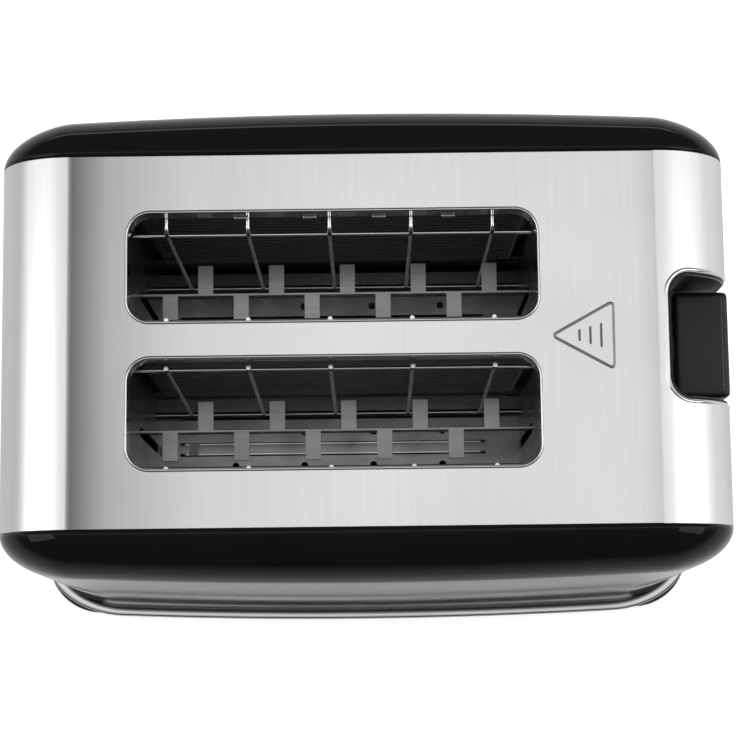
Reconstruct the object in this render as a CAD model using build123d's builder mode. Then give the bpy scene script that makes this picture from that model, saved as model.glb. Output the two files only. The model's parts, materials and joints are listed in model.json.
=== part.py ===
from build123d import *
import math
import os

import numpy as np

# Two-slice toaster in millimetres. +Z is up, -Y is the front, +X is the lever end.
# The origin lies on the standing surface, under the middle of the body.

# Bread slots in the top: the toaster's length and width follow from them
height = 190.0
slot_length = 144.0
slot_width = 38.6
slot_bridge = 13.2
slot_corner = 8.0
collar_depth = 9.0
stop_lug_size = (4.8, 0.8, 1.6)
stop_lug_count = 4
stop_lug_pitch = 24.6
stop_lug_shift = 4.3
left_margin = 48.1
right_margin = 69.9
side_margin = 20.7

# Steel band that wraps the left end, the top and the right end
band_corner = 27.5
steel = 0.8
shell_bottom = 16.0

# Glossy side covers
shoulder = 18.8
cover_flare = 3.7
crown_radius = 2100.0
cover_wall = 2.4
cover_gap = 0.15
lip_width = 6.0
lip_wall = 2.0
lip_seat = 0.45

# Base, polished trim and feet
foot_height = 5.0
foot_radius = 9.0
foot_chamfer = 0.8
foot_inset_x = 23.0
foot_inset_y = 3.9
base_floor = 3.0
base_wall = 3.0
base_inset = 0.5
trim_gap = 0.3
trim_flare_x = 7.0
trim_flare_y = 5.4
trim_rise = 3.5
trim_lip = 2.2
plan_corner = 24.0
flange_height = 2.0
flange_inset = 0.8
post_radius = 7.0
post_top = 24.0
pedestal_top = 20.0
vent_size = (3.5, 26.0)
vent_pitch = (9.0, 34.0)
vent_count = (13, 2)

# Lever channel in the right end
channel_depth = 25.2
channel_width = 46.8
channel_corner = 9.0
rim_fold = 3.0
seam_inset = 2.5
bezel_wall = 1.5
bezel_gap = 0.3
bezel_inset = 0.6
stem_slot_gap = 1.5

# Lever knob and its arm
knob_drop = 25.0
knob_height = 20.0
knob_corner = 4.0
knob_edge = 1.2
knob_side_gap = 2.35
knob_back_gap = 4.4
knob_overhang = 0.7
knob_floor_gap = 5.0
pocket_depth = 8.0
stem_width = 8.0
stem_thick = 3.0

# Carriage, guide rod and return spring
rod_back = 18.8
rod_radius = 3.0
running_gap = 0.1
fit_gap = 0.05
bushing_wall = 2.0
bushing_height = 22.0
bushing_drop = 6.0
bushing_flange = 1.0
bracket_thick = 1.5
bracket_drop = 47.0
bracket_rise = 16.0
bracket_clearance = 6.0
bracket_reach = 10.0
web_overlap = 2.1
plate_overlap = 5.1
brace_drop = 6.0
brace_thick = 1.5
brace_half = 30.0
brace_flange = 10.0
spring_gap = 0.6
spring_wire = 1.0

# Bread carriers
carrier_rise = 15.0
carrier_height = 7.0
carrier_thick = 1.0
carrier_overhang = 4.0
carrier_floor_gap = 2.0
carrier_slot_width = 4.0
carrier_slot_gap = 1.0
tab_count = 5
tab_width = 5.8
tab_guard_gap = 2.4
tab_shift = 4.7
tab_ends = 36.8

# Toasting chamber
plate_thick = 0.8
plate_gap = 0.4
plate_margin = 5.5
plate_bottom = 14.0
plate_drop = 6.0
flange_reach = 10.0
pad_size = 10.0
floor_top = 64.0
floor_margin = 1.3
groove_width = 3.2
groove_inset = 6.0
floor_hole_radius = 1.4
floor_hole_pitch = 28.0
floor_hole_offset = 6.8
rib_width = 5.6
rib_inset = 10.0
rib_shift = -2.5
rib_rise = 1.4
rib_round = 1.26
reflector_thick = 0.5
reflector_gap = 5.0
reflector_bottom = 60.0
reflector_drop = 10.0

# Heater cards and their ribbons
card_thick = 1.0
card_drop = 4.0
inner_card_margin = 2.3
outer_card_margin = 4.3
wound_bottom = 82.0
wound_drop = 8.45
turn_count = 20
wire_radius = 0.45
wire_lift = 0.35
card_notch = 4.6
notch_margin = 3.5

# Bread guards
guard_rod_radius = 1.2
guard_wire_radius = 0.8
guard_pivot_z = 69.0
guard_pivot_inset = 5.7
guard_top_drop = 10.2
front_guard_top_inset = 1.0
middle_guard_top_inset = 2.0
rear_guard_top_inset = 5.2
guard_bend = 6.0
guard_bend_radius = 2.4
guard_wire_count = 5
guard_wire_ends = 27.6
guard_wire_shift = -1.1
rod_overhang = 2.5
rod_hole_gap = 0.1
long_wire_drop = 4.5
long_wire_inset = 1.5

# Crumb tray
tray_bottom = 22.0
tray_height = 9.0
tray_wall = 0.8
tray_end_gap = 2.3
tray_seat_gap = 0.3
tray_face_thick = 2.5
tray_face_height = 15.0
tray_face_margin = 1.2
tray_leg_gap = 11.2
tray_lip_reach = 11.0
tray_lip_half = 24.0
tray_lip_low = 25.0
tray_lip_thick = 5.0
tray_lip_corner = 8.8
door_gap = 0.4
leg_gap = 1.0
rail_inset = 5.6
rail_thick = 3.0
rail_end_gap = 16.0

# Controls below the lever channel
panel_bottom = 20.0
panel_thick = 2.0
panel_depth = 20.4
panel_leg_inset = 4.4
board_depth = 18.4
board_thick = 1.6
board_side_gap = 0.6
board_bottom = 14.0
board_top_gap = 1.5
board_boss_inset = 3.0
board_boss_low = 24.0
board_boss_radius = 2.6
board_screw_radius = 1.2
board_screw_length = 10.0
relay_size = (11.0, 14.0, 16.0)
relay_spot = (-8.0, 30.0)
chip_size = (3.0, 8.0, 14.0)
chip_spot = (10.0, 46.0)
capacitor_radius = 4.0
capacitor_length = 9.0
capacitor_spot = (9.0, 30.0)
button_drop = 14.5
button_pitch = 14.0
button_radius = 5.0
button_stem_radius = 2.5
button_travel = 1.8
button_proud = 2.0
button_length = 6.5
switch_height = 3.5
switch_half = 3.0
stem_rest_gap = 0.3
dial_z = 40.0
dial_radius = 15.5
dial_reach = 10.6
dial_gap = 1.0
dial_hole_gap = 1.0
dial_taper = 1.0
dial_cap = 4.0
shaft_radius = 3.0
pot_half = 8.0
pot_depth = 7.0
pointer_depth = 0.8
pointer_size = (1.4, 8.0)
pointer_drop = 5.0

# Holding magnet and mains switch under the carriage
magnet_offset = (-2.0, -19.0)
pedestal_size = (16.0, 22.0)
armature_thick = 3.0
yoke_depth = 12.0
yoke_width = 22.0
yoke_leg = 4.0
yoke_core = 5.0
yoke_foot = 6.0
coil_wall = 4.0
coil_gap = 0.3
coil_margin = 2.0
magnet_gap = 0.2
switch_offset = (-2.0, 19.0)
switch_block = (16.0, 18.0, 32.0)
blade_size = (3.0, 12.0)
blade_pitch = 9.0
blade_gap = 0.5

# Cord entry in the rear cover and the terminal block behind it
gland_inset = 43.0
gland_z = 30.0
gland_radius = 7.0
gland_flange = 2.0
retainer_thick = 2.2
slope_allowance = 0.8
cord_hole = 3.6
terminal_size = (16.0, 14.0, 18.0)
terminal_inset = (27.0, 2.9)
terminal_pitch = 5.0

# Fasteners
screw_radius = 1.5
screw_hole = 1.6
screw_head_radius = 2.8
screw_head = 2.0
head_gap = 0.4
head_recess = 4.0
case_screw_length = 20.0
case_screw_inset = 31.0
case_screw_reach = 10.1
boss_radius = 4.5
boss_rise = 18.0
seat_margin = 1.0
frame_screw_length = 5.5

# Places along X and Y that follow from the sizes above
band_length = slot_length + left_margin + right_margin
slot_centre_x = (left_margin - right_margin) / 2
slot_spacing = slot_width + slot_bridge
band_width = slot_spacing + slot_width + 2 * side_margin
half_length = band_length / 2
half_width = band_width / 2
shell_y = half_width + cover_gap
cover_y = half_width + shoulder + cover_flare
cover_lean = cover_flare / (height - shoulder - shell_bottom)
chamber_left = slot_centre_x - slot_length / 2 - steel - plate_gap
chamber_right = slot_centre_x + slot_length / 2 + steel + plate_gap
chamber_length = chamber_right - chamber_left
chamber_middle = (chamber_left + chamber_right) / 2
inner_card_y = slot_spacing / 2 - slot_width / 2 - inner_card_margin
outer_card_y = slot_spacing / 2 + slot_width / 2 + outer_card_margin
reflector_y = outer_card_y + reflector_gap
plate_half_width = reflector_y + plate_margin
tray_face_half = plate_half_width - tray_leg_gap
tray_half_width = tray_face_half - tray_face_margin
tray_right = chamber_right - tray_end_gap
rail_y = tray_half_width - rail_inset
guard_pivot_offset = slot_width / 2 - guard_pivot_inset
guard_wire_pitch = (slot_length - guard_wire_ends) / (guard_wire_count - 1)
tab_reach = guard_pivot_offset - tab_guard_gap
tab_pitch = (slot_length - tab_ends) / (tab_count - 1)
channel_left = half_length - channel_depth
bezel_left = channel_left + bezel_gap
bezel_half = channel_width / 2 - bezel_gap
knob_left = bezel_left + bezel_wall + knob_back_gap
knob_right = half_length + knob_overhang
knob_width = 2 * (bezel_half - bezel_wall - knob_side_gap)
rod_x = channel_left - rod_back
bracket_left = chamber_right + plate_thick + bracket_clearance
bracket_right = rod_x + bracket_reach
magnet_x = rod_x + magnet_offset[0]
magnet_y = magnet_offset[1]
panel_front = half_length - bezel_inset
panel_deep = panel_front - panel_depth
board_x = panel_front - board_depth
gland_x = gland_inset - half_length
case_screw_x = half_length - case_screw_inset
case_screw_y = half_width + case_screw_reach

# Heights that follow: the carriage stops just above the slot floors
base_top = foot_height + base_floor
knob_top = height - knob_drop
bracket_bottom = knob_top - bracket_drop
carrier_top = bracket_bottom + carrier_rise
carrier_bottom = carrier_top - carrier_height
lever_travel = carrier_bottom - floor_top - carrier_floor_gap
channel_floor = knob_top - knob_height - lever_travel - knob_floor_gap
stem_top = knob_top - knob_height / 2 + stem_thick / 2
plate_top = height - plate_drop
brace_bottom = plate_top - brace_drop
card_top = height - card_drop
reflector_top = height - reflector_drop
wound_top = card_top - wound_drop
turn_pitch = (wound_top - wound_bottom) / (turn_count - 0.5)
guard_top = height - guard_top_drop
button_z = channel_floor - button_drop
slot_sides = {"front": -1, "rear": 1}
door_width = 2 * (tray_face_half + door_gap)
door_height = tray_face_height + 2 * door_gap
lowest = (Align.CENTER, Align.CENTER, Align.MIN)

os.makedirs("parts", exist_ok=True)


def crown_drop(x):
    """How far a crowned side falls back at a distance x from its middle."""
    return crown_radius - math.sqrt(crown_radius**2 - x**2)


def save(piece, name):
    """Label a finished piece and write its file."""
    piece.part.label = name
    export_step(piece.part, f"parts/{name}.step")


def band_face(plane, inset, bottom):
    """End-on outline of the band: straight ends, rounded upper corners."""
    top = height - inset
    with BuildSketch(plane) as outline:
        with Locations((0, (top + bottom) / 2)):
            Rectangle(band_length - 2 * inset, top - bottom)
        fillet(outline.vertices().group_by(Axis.Y)[-1], band_corner - inset)
    return outline.sketch


def plan_face(z, half_x, half_y, corner):
    """Plan outline: crowned long sides, straight ends, round corners."""
    side = half_y - crown_drop(half_x)
    with BuildSketch(Plane.XY.offset(z)) as outline:
        with BuildLine():
            ThreePointArc((-half_x, -side), (0, -half_y), (half_x, -side))
            Line((half_x, -side), (half_x, side))
            ThreePointArc((half_x, side), (0, half_y), (-half_x, side))
            Line((-half_x, side), (-half_x, -side))
        make_face()
        fillet(outline.vertices(), corner)
    return outline.sketch


def slot_face(z, side, grow):
    """Outline of one bread slot, made larger all round by grow."""
    with BuildSketch(Plane.XY.offset(z)) as outline:
        with Locations((slot_centre_x, side * slot_spacing / 2)):
            RectangleRounded(slot_length + 2 * grow, slot_width + 2 * grow, slot_corner + grow)
    return outline.sketch


def band_shell(y_low, y_high, outer_inset, inner_inset, bottom):
    """Bent sheet between two offsets of the band's outline, from y_low to y_high."""
    plane = Plane.XZ.offset(-y_high)
    with BuildPart() as shell:
        extrude(band_face(plane, outer_inset, bottom), amount=y_high - y_low)
        extrude(band_face(plane, inner_inset, bottom), amount=y_high - y_low, mode=Mode.SUBTRACT)
    return shell.part


def channel_block(grow, bottom):
    """Tall block over the lever channel's plan: round inner corners, open past the end."""
    far = 2 * half_length
    with BuildPart() as block:
        with BuildSketch(Plane.XY.offset(bottom)) as plan:
            with Locations(((channel_left - grow + far) / 2, 0)):
                Rectangle(far - channel_left + grow, channel_width + 2 * grow)
            fillet(plan.vertices().group_by(Axis.X)[0], channel_corner + grow)
        extrude(amount=height)
    return block.part


# Steel band: bent sheet with two slots and a folded rim round the lever channel, in two pieces
# that meet edge to edge on the crease beside the channel
with BuildPart() as channel_rim:
    rim_reach = channel_width / 2 + steel
    add(band_shell(-rim_reach, rim_reach, 0, rim_fold, panel_bottom))
    add(channel_block(steel, panel_bottom), mode=Mode.INTERSECT)
    add(channel_block(0, 0), mode=Mode.SUBTRACT)

with BuildPart() as whole_band:
    add(band_shell(-half_width, half_width, 0, steel, shell_bottom))
    for side in slot_sides.values():
        extrude(slot_face(height, side, steel + fit_gap), amount=-collar_depth, mode=Mode.SUBTRACT)
    add(channel_block(steel, panel_bottom), mode=Mode.SUBTRACT)
    add(channel_rim.part)
    with Locations((-half_length, 0, panel_bottom)):
        Box(band_corner, door_width, door_height, align=lowest, mode=Mode.SUBTRACT)
seam = Plane(origin=(channel_left - steel - seam_inset, 0, 0), z_dir=(1, 0, 0))
for name, kept_side in (("steel_wrap", Keep.BOTTOM), ("lever_end_band", Keep.TOP)):
    with BuildPart() as band_piece:
        add(whole_band.part)
        split(bisect_by=seam, keep=kept_side)
    save(band_piece, name)

# Slot frames: a drawn collar in each slot, the rear one with stop lugs on its far wall
for label, side in slot_sides.items():
    with BuildPart() as slot_frame:
        extrude(slot_face(height, side, steel), amount=-collar_depth)
        extrude(slot_face(height, side, 0), amount=-collar_depth, mode=Mode.SUBTRACT)
        if label == "rear":
            far_wall = (slot_spacing + slot_width) / 2
            with Locations((slot_centre_x + stop_lug_shift, far_wall, height - collar_depth)):
                with GridLocations(stop_lug_pitch, 1, stop_lug_count, 1):
                    Box(*stop_lug_size, align=(Align.CENTER, Align.MAX, Align.MIN))
    save(slot_frame, f"{label}_slot_frame")


def cover_block(inset):
    """Solid inside one side cover's outer surface, moved in by inset. It faces the front."""
    top_y = cover_y - cover_lean * (height - shell_bottom)
    inner_y = half_width - 2 * lip_width
    end_x = half_length + shoulder
    corner_drop = crown_drop(end_x)
    with BuildPart() as block:
        for z, far_y in ((shell_bottom, cover_y), (height, top_y)):
            with BuildSketch(Plane.XY.offset(z)):
                with BuildLine():
                    left = (-end_x, inset + corner_drop - far_y)
                    right = (end_x, inset + corner_drop - far_y)
                    ThreePointArc(left, (0, inset - far_y), right)
                    Polyline(right, (end_x, -inner_y), (-end_x, -inner_y), left)
                make_face()
        loft()
        extrude(band_face(Plane.XZ, inset, shell_bottom), amount=2 * cover_y, mode=Mode.INTERSECT)
        face = block.faces().sort_by(Axis.Y)[0]
        rim = face.edges().filter_by(lambda edge: edge.center().Z > shell_bottom + 1)
        fillet(rim, shoulder - inset)
    return block.part


# Side covers: moulded shells whose lip passes under the edge of the band
def side_cover(side, has_cord_hole):
    """One glossy side cover with its lip and two screw bosses."""
    lip_inset = steel + cover_gap
    with BuildPart() as cover:
        add(cover_block(0))
        split(bisect_by=Plane.XZ.offset(shell_y), keep=Keep.TOP)
        add(cover_block(cover_wall), mode=Mode.SUBTRACT)
        add(band_shell(-shell_y - lip_seat, lip_width - half_width, lip_inset, lip_inset + lip_wall,
                       shell_bottom))
        for x in (-case_screw_x, case_screw_x):
            with Locations((x, -case_screw_y, shell_bottom)):
                Cylinder(boss_radius, boss_rise, align=lowest)
            rib_end = cover_y - cover_wall - crown_drop(case_screw_x) + cover_wall / 2
            with Locations((x, -rib_end, shell_bottom)):
                Box(cover_wall, rib_end - case_screw_y, boss_rise, align=(Align.CENTER, Align.MIN, Align.MIN))
            with Locations((x, -case_screw_y, shell_bottom)):
                Cylinder(screw_hole, boss_rise, align=lowest, mode=Mode.SUBTRACT)
        if side > 0:
            mirror(about=Plane.XZ, mode=Mode.REPLACE)
        if has_cord_hole:
            with Locations(Plane(origin=(gland_x, cover_y, gland_z), z_dir=(0, 1, 0))):
                Cylinder(gland_radius + fit_gap, 4 * shoulder, mode=Mode.SUBTRACT)
    return cover


for label, side in slot_sides.items():
    save(side_cover(side, has_cord_hole=side > 0), f"{label}_cover")


# Base: floor pan with a wall under the shell, tray rails, pads, posts and vents
trim_x = half_length + trim_flare_x
trim_y = cover_y + trim_flare_y
wall_x = half_length - base_inset
wall_y = cover_y - base_inset
wall_corner = plan_corner - trim_flare_x
leg_inner = tray_face_half + leg_gap
leg_middle = (leg_inner + plate_half_width) / 2
leg_width = plate_half_width - leg_inner
left_pad_x = chamber_left - plate_thick - flange_reach / 2
right_pad_x = chamber_right + plate_thick + flange_reach / 2
pad_spots = [(x, y) for x in (left_pad_x, right_pad_x) for y in (-leg_middle, leg_middle)]
case_screw_spots = [(x, y) for x in (-case_screw_x, case_screw_x) for y in (-case_screw_y, case_screw_y)]
rail_length = tray_right + half_length - rail_end_gap
with BuildPart() as base_housing:
    extrude(plan_face(foot_height, trim_x - flange_inset, trim_y - flange_inset, plan_corner - flange_inset),
            amount=flange_height)
    extrude(plan_face(foot_height, wall_x, wall_y, wall_corner), amount=shell_bottom - foot_height)
    extrude(plan_face(base_top, wall_x - base_wall, wall_y - base_wall, wall_corner - base_wall),
            amount=height, mode=Mode.SUBTRACT)
    with Locations(*[(tray_right - rail_length / 2, y, base_top) for y in (-rail_y, rail_y)]):
        Box(rail_length, rail_thick, tray_bottom - tray_seat_gap - base_top, align=lowest)
    with Locations(*[(x, y, base_top) for x, y in pad_spots]):
        Box(pad_size, pad_size, plate_bottom - base_top, align=lowest)
    with Locations((rod_x, 0, base_top)):
        Cylinder(post_radius, post_top - base_top, align=lowest)
    with Locations((magnet_x, magnet_y, base_top)):
        Box(*pedestal_size, pedestal_top - base_top, align=lowest)
    with Locations(*[(x, y, base_top) for x, y in case_screw_spots]):
        Cylinder(boss_radius + seat_margin, shell_bottom - base_top, align=lowest)
    with Locations(*[(x, y, base_top - flange_height) for x, y in pad_spots]):
        Cylinder(screw_hole, plate_bottom, align=lowest, mode=Mode.SUBTRACT)
    with Locations((rod_x, 0, base_top)):
        Cylinder(rod_radius + fit_gap, height, align=lowest, mode=Mode.SUBTRACT)
    with Locations(*[(x, y, foot_height) for x, y in case_screw_spots]):
        Cylinder(screw_hole, height, align=lowest, mode=Mode.SUBTRACT)
        Cylinder(screw_head_radius + head_gap, head_recess, align=lowest, mode=Mode.SUBTRACT)
    with Locations((chamber_middle, 0, foot_height)):
        with GridLocations(*vent_pitch, *vent_count):
            Box(*vent_size, base_floor, align=lowest, mode=Mode.SUBTRACT)
save(base_housing, "base_housing")

# Polished trim: a ring that flares out to the widest line of the toaster
trim_bottom = foot_height + flange_height
trim_top = shell_bottom - trim_gap
with BuildPart() as base_trim:
    extrude(plan_face(trim_bottom, trim_x, trim_y, plan_corner), amount=trim_rise)
    loft([
        plan_face(trim_bottom + trim_rise, trim_x, trim_y, plan_corner),
        plan_face(trim_top, half_length + trim_lip, cover_y + trim_lip,
                  plan_corner - trim_flare_x + trim_lip),
    ])
    extrude(plan_face(0, wall_x + trim_gap, wall_y + trim_gap, wall_corner + trim_gap), amount=height,
            mode=Mode.SUBTRACT)
save(base_trim, "base_trim")

# Rubber feet
with BuildPart() as rubber_feet:
    with GridLocations(band_length - 2 * foot_inset_x, band_width - 2 * foot_inset_y, 2, 2):
        Cylinder(foot_radius, foot_height, align=lowest)
    chamfer(rubber_feet.faces().group_by(Axis.Z)[0].edges(), foot_chamfer)
save(rubber_feet, "rubber_feet")

# Liner of the lever channel, open at the top and at the end, slotted for the lever's arm
with BuildPart() as lever_bezel:
    shelf_bottom = channel_floor - bezel_wall
    extrude(band_face(Plane.XZ.offset(-bezel_half), bezel_inset, shelf_bottom), amount=2 * bezel_half)
    add(channel_block(-bezel_gap, shelf_bottom), mode=Mode.INTERSECT)
    add(channel_block(-bezel_gap - bezel_wall, channel_floor), mode=Mode.SUBTRACT)
    with Locations((bezel_left, 0, stem_top + stem_slot_gap)):
        slot_drop = lever_travel + stem_thick + 2 * stem_slot_gap
        Box(3 * bezel_wall, stem_width + 2 * stem_slot_gap, slot_drop,
            align=(Align.CENTER, Align.CENTER, Align.MAX), mode=Mode.SUBTRACT)
save(lever_bezel, "lever_bezel")

# Lever knob with a pocket for its arm
with BuildPart() as lever_knob:
    with BuildSketch(Plane.XY.offset(knob_top - knob_height)) as plan:
        with Locations(((knob_left + knob_right) / 2, 0)):
            Rectangle(knob_right - knob_left, knob_width)
        fillet(plan.vertices().group_by(Axis.X)[0], knob_corner)
    extrude(amount=knob_height)
    fillet(lever_knob.faces().filter_by(Axis.Z).edges(), knob_edge)
    with Locations((knob_left, 0, stem_top + fit_gap)):
        Box(2 * pocket_depth, stem_width + 2 * fit_gap, stem_thick + 2 * fit_gap,
            align=(Align.CENTER, Align.CENTER, Align.MAX), mode=Mode.SUBTRACT)
save(lever_knob, "lever_knob")

# Carriage: bracket, its bushing on the guide rod, and the arm out to the knob
web_half = slot_spacing / 2 + web_overlap
plate_half = slot_spacing / 2 + plate_overlap
web_top = bracket_bottom + bracket_thick
bushing_hole = rod_radius + running_gap
bushing_outer = bushing_hole + bushing_wall
with BuildPart() as carriage_bracket:
    with Locations((bracket_left, 0, bracket_bottom)):
        Box(bracket_right - bracket_left, 2 * web_half, bracket_thick,
            align=(Align.MIN, Align.CENTER, Align.MIN))
        Box(bracket_thick, 2 * plate_half, bracket_rise, align=(Align.MIN, Align.CENTER, Align.MIN))
    with Locations((rod_x, 0, bracket_bottom)):
        Cylinder(bushing_outer + fit_gap, bracket_thick, align=lowest, mode=Mode.SUBTRACT)
save(carriage_bracket, "carriage_bracket")

with BuildPart() as carriage_bushing:
    with Locations((rod_x, 0, bracket_bottom - bushing_drop)):
        Cylinder(bushing_outer, bushing_height, align=lowest)
        Cylinder(bushing_hole, bushing_height, align=lowest, mode=Mode.SUBTRACT)
    with Locations((rod_x, 0, web_top)):
        Cylinder(bushing_outer + bushing_flange, bracket_thick, align=lowest)
        Cylinder(bushing_hole, bracket_thick, align=lowest, mode=Mode.SUBTRACT)
save(carriage_bushing, "carriage_bushing")

with BuildPart() as lever_arm:
    with Locations((bracket_right, 0, web_top)):
        Box(stem_thick, stem_width, stem_top - web_top, align=(Align.MAX, Align.CENTER, Align.MIN))
    with Locations((bracket_right - stem_thick, 0, stem_top)):
        arm_length = knob_left + pocket_depth - bracket_right + stem_thick - running_gap
        Box(arm_length, stem_width, stem_thick, align=(Align.MIN, Align.CENTER, Align.MAX))
save(lever_arm, "lever_arm")

# Guide rod between its post and the top brace
with BuildPart() as guide_rod:
    with Locations((rod_x, 0, base_top)):
        Cylinder(rod_radius, brace_bottom + brace_thick - base_top, align=lowest)
save(guide_rod, "guide_rod")

with BuildPart() as top_brace:
    brace_left = chamber_right + plate_thick
    with Locations((brace_left, 0, brace_bottom)):
        Box(bezel_left - brace_left, 2 * brace_half, brace_thick, align=(Align.MIN, Align.CENTER, Align.MIN))
        Box(brace_thick, 2 * brace_half, brace_flange, align=(Align.MIN, Align.CENTER, Align.MAX))
    with Locations((rod_x, 0, brace_bottom)):
        Cylinder(rod_radius + fit_gap, brace_thick, align=lowest, mode=Mode.SUBTRACT)
save(top_brace, "top_brace")

# Return spring round the guide rod, drawn as the sleeve that its coils fill
with BuildPart() as return_spring:
    spring_inner = rod_radius + spring_gap
    spring_length = bracket_bottom - bushing_drop - post_top
    with Locations((rod_x, 0, post_top)):
        Cylinder(spring_inner + spring_wire, spring_length, align=lowest)
        Cylinder(spring_inner, spring_length, align=lowest, mode=Mode.SUBTRACT)
save(return_spring, "return_spring")

# Holding magnet: armature under the bracket, three-legged yoke and coil on the pedestal
yoke_top = bracket_bottom - armature_thick - lever_travel - magnet_gap
with BuildPart() as magnet_armature:
    with Locations((magnet_x, magnet_y, bracket_bottom)):
        Box(yoke_depth, yoke_width, armature_thick, align=(Align.CENTER, Align.CENTER, Align.MAX))
save(magnet_armature, "magnet_armature")

with BuildPart() as magnet_yoke:
    with Locations((magnet_x, magnet_y, pedestal_top)):
        Box(yoke_depth, yoke_width, yoke_foot, align=lowest)
        Box(yoke_depth, yoke_core, yoke_top - pedestal_top, align=lowest)
    leg_y = (yoke_width - yoke_leg) / 2
    with Locations(*[(magnet_x, magnet_y + y, pedestal_top) for y in (-leg_y, leg_y)]):
        Box(yoke_depth, yoke_leg, yoke_top - pedestal_top, align=lowest)
save(magnet_yoke, "magnet_yoke")

with BuildPart() as magnet_coil:
    coil_bottom = pedestal_top + yoke_foot
    coil_height = yoke_top - coil_bottom - coil_margin
    with Locations((magnet_x, magnet_y, coil_bottom)):
        Box(yoke_depth + 2 * coil_wall, yoke_core + 2 * coil_wall, coil_height, align=lowest)
        Box(yoke_depth + 2 * coil_gap, yoke_core + 2 * coil_gap, coil_height, align=lowest,
            mode=Mode.SUBTRACT)
save(magnet_coil, "magnet_coil")

# Mains switch under the bracket, with two spring blades
switch_x = rod_x + switch_offset[0]
switch_y = switch_offset[1]
with BuildPart() as mains_switch:
    with Locations((switch_x, switch_y, base_top)):
        Box(*switch_block, align=lowest)
save(mains_switch, "mains_switch")

with BuildPart() as switch_blades:
    blade_bottom = base_top + switch_block[2]
    blade_top = bracket_bottom - lever_travel - blade_gap
    with Locations((switch_x, switch_y, blade_bottom)):
        with GridLocations(blade_pitch, 1, 2, 1):
            Box(blade_size[0], blade_size[1], blade_top - blade_bottom, align=lowest)
save(switch_blades, "switch_blades")


def slot_offset(side, offset):
    """Y of a line that lies offset outward of one slot's middle."""
    return side * (slot_spacing / 2 + offset)


# Bread carriers: a strip on edge with lugs bent to the front and to the rear in turn
for label, side in slot_sides.items():
    with BuildPart() as bread_carrier:
        carrier_y = slot_offset(side, 0)
        carrier_left = chamber_left - plate_thick - carrier_overhang
        with Locations((carrier_left, carrier_y, carrier_bottom)):
            Box(bracket_left - carrier_left, carrier_thick, carrier_height,
                align=(Align.MIN, Align.CENTER, Align.MIN))
        rear_middle = slot_centre_x + tab_shift
        for reach, middle in ((tab_reach, rear_middle), (-tab_reach, rear_middle - tab_pitch / 2)):
            with Locations((middle, carrier_y + reach / 2, carrier_top)):
                with GridLocations(tab_pitch, 1, tab_count, 1):
                    Box(tab_width, tab_reach, carrier_thick, align=(Align.CENTER, Align.CENTER, Align.MAX))
    save(bread_carrier, f"{label}_bread_carrier")

# Chamber end plates: slots for the carriers, holes for the guard rods, feet on the base
guard_spots = {
    f"{label}_{place}": (side, toward)
    for label, side in slot_sides.items()
    for place, toward in (("inner", -1), ("outer", 1))
}
pivot_ys = [slot_offset(side, toward * guard_pivot_offset) for side, toward in guard_spots.values()]
for label, face_x, outward in (("left", chamber_left, -1), ("right", chamber_right, 1)):
    near = Align.MIN if outward > 0 else Align.MAX
    with BuildPart() as end_plate:
        with Locations((face_x, 0, plate_bottom)):
            Box(plate_thick, 2 * plate_half_width, plate_top - plate_bottom,
                align=(near, Align.CENTER, Align.MIN))
            if label == "left":
                Box(plate_thick, 2 * leg_inner, panel_bottom + door_height - plate_bottom,
                    align=(near, Align.CENTER, Align.MIN), mode=Mode.SUBTRACT)
        with Locations(*[(face_x, y, plate_bottom) for y in (-leg_middle, leg_middle)]):
            Box(plate_thick + flange_reach, leg_width, plate_thick, align=(near, Align.CENTER, Align.MIN))
        slot_low = carrier_bottom - lever_travel - carrier_slot_gap
        slot_high = carrier_top + carrier_slot_gap
        with Locations(*[(face_x, slot_offset(side, 0), slot_low) for side in slot_sides.values()]):
            Box(4 * plate_thick, carrier_slot_width, slot_high - slot_low, align=lowest, mode=Mode.SUBTRACT)
        with Locations(*[Plane(origin=(face_x, y, guard_pivot_z), z_dir=(1, 0, 0)) for y in pivot_ys]):
            Cylinder(guard_rod_radius + rod_hole_gap, 4 * plate_thick, mode=Mode.SUBTRACT)
        pad_x = left_pad_x if outward < 0 else right_pad_x
        with Locations(*[(pad_x, y, plate_bottom) for y in (-leg_middle, leg_middle)]):
            Cylinder(screw_hole, plate_thick, align=lowest, mode=Mode.SUBTRACT)
    save(end_plate, f"{label}_end_plate")

# Slot floors: pans with a groove under each guard, small holes and a rounded middle rib
groove_length = slot_length - 2 * groove_inset
rib_length = slot_length - 2 * rib_inset
floor_half_width = slot_width / 2 + floor_margin
for label, side in slot_sides.items():
    with BuildPart() as slot_floor:
        floor_y = slot_offset(side, 0)
        with Locations((chamber_middle, floor_y, floor_top)):
            Box(chamber_length, 2 * floor_half_width, plate_thick,
                align=(Align.CENTER, Align.CENTER, Align.MAX))
        with Locations((slot_centre_x + rib_shift, floor_y, floor_top)):
            Box(rib_length, rib_width, rib_rise, align=lowest)
        ridge = slot_floor.faces().sort_by(Axis.Z)[-1].edges().filter_by(Axis.X)
        fillet(ridge, rib_round)
        with Locations((slot_centre_x, floor_y, floor_top)):
            with GridLocations(1, 2 * guard_pivot_offset, 1, 2):
                Box(groove_length, groove_width, 4 * plate_thick, mode=Mode.SUBTRACT)
            with GridLocations(floor_hole_pitch, 2 * floor_hole_offset, 4, 2):
                Cylinder(floor_hole_radius, 4 * plate_thick, mode=Mode.SUBTRACT)
    save(slot_floor, f"{label}_slot_floor")

# Reflectors behind the outer heaters and between the inner ones
for label, y in (("front", -reflector_y), ("centre", 0), ("rear", reflector_y)):
    with BuildPart() as reflector:
        with Locations((chamber_middle, y, reflector_bottom)):
            Box(chamber_length, reflector_thick, reflector_top - reflector_bottom, align=lowest)
    save(reflector, f"{label}_reflector")

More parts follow.
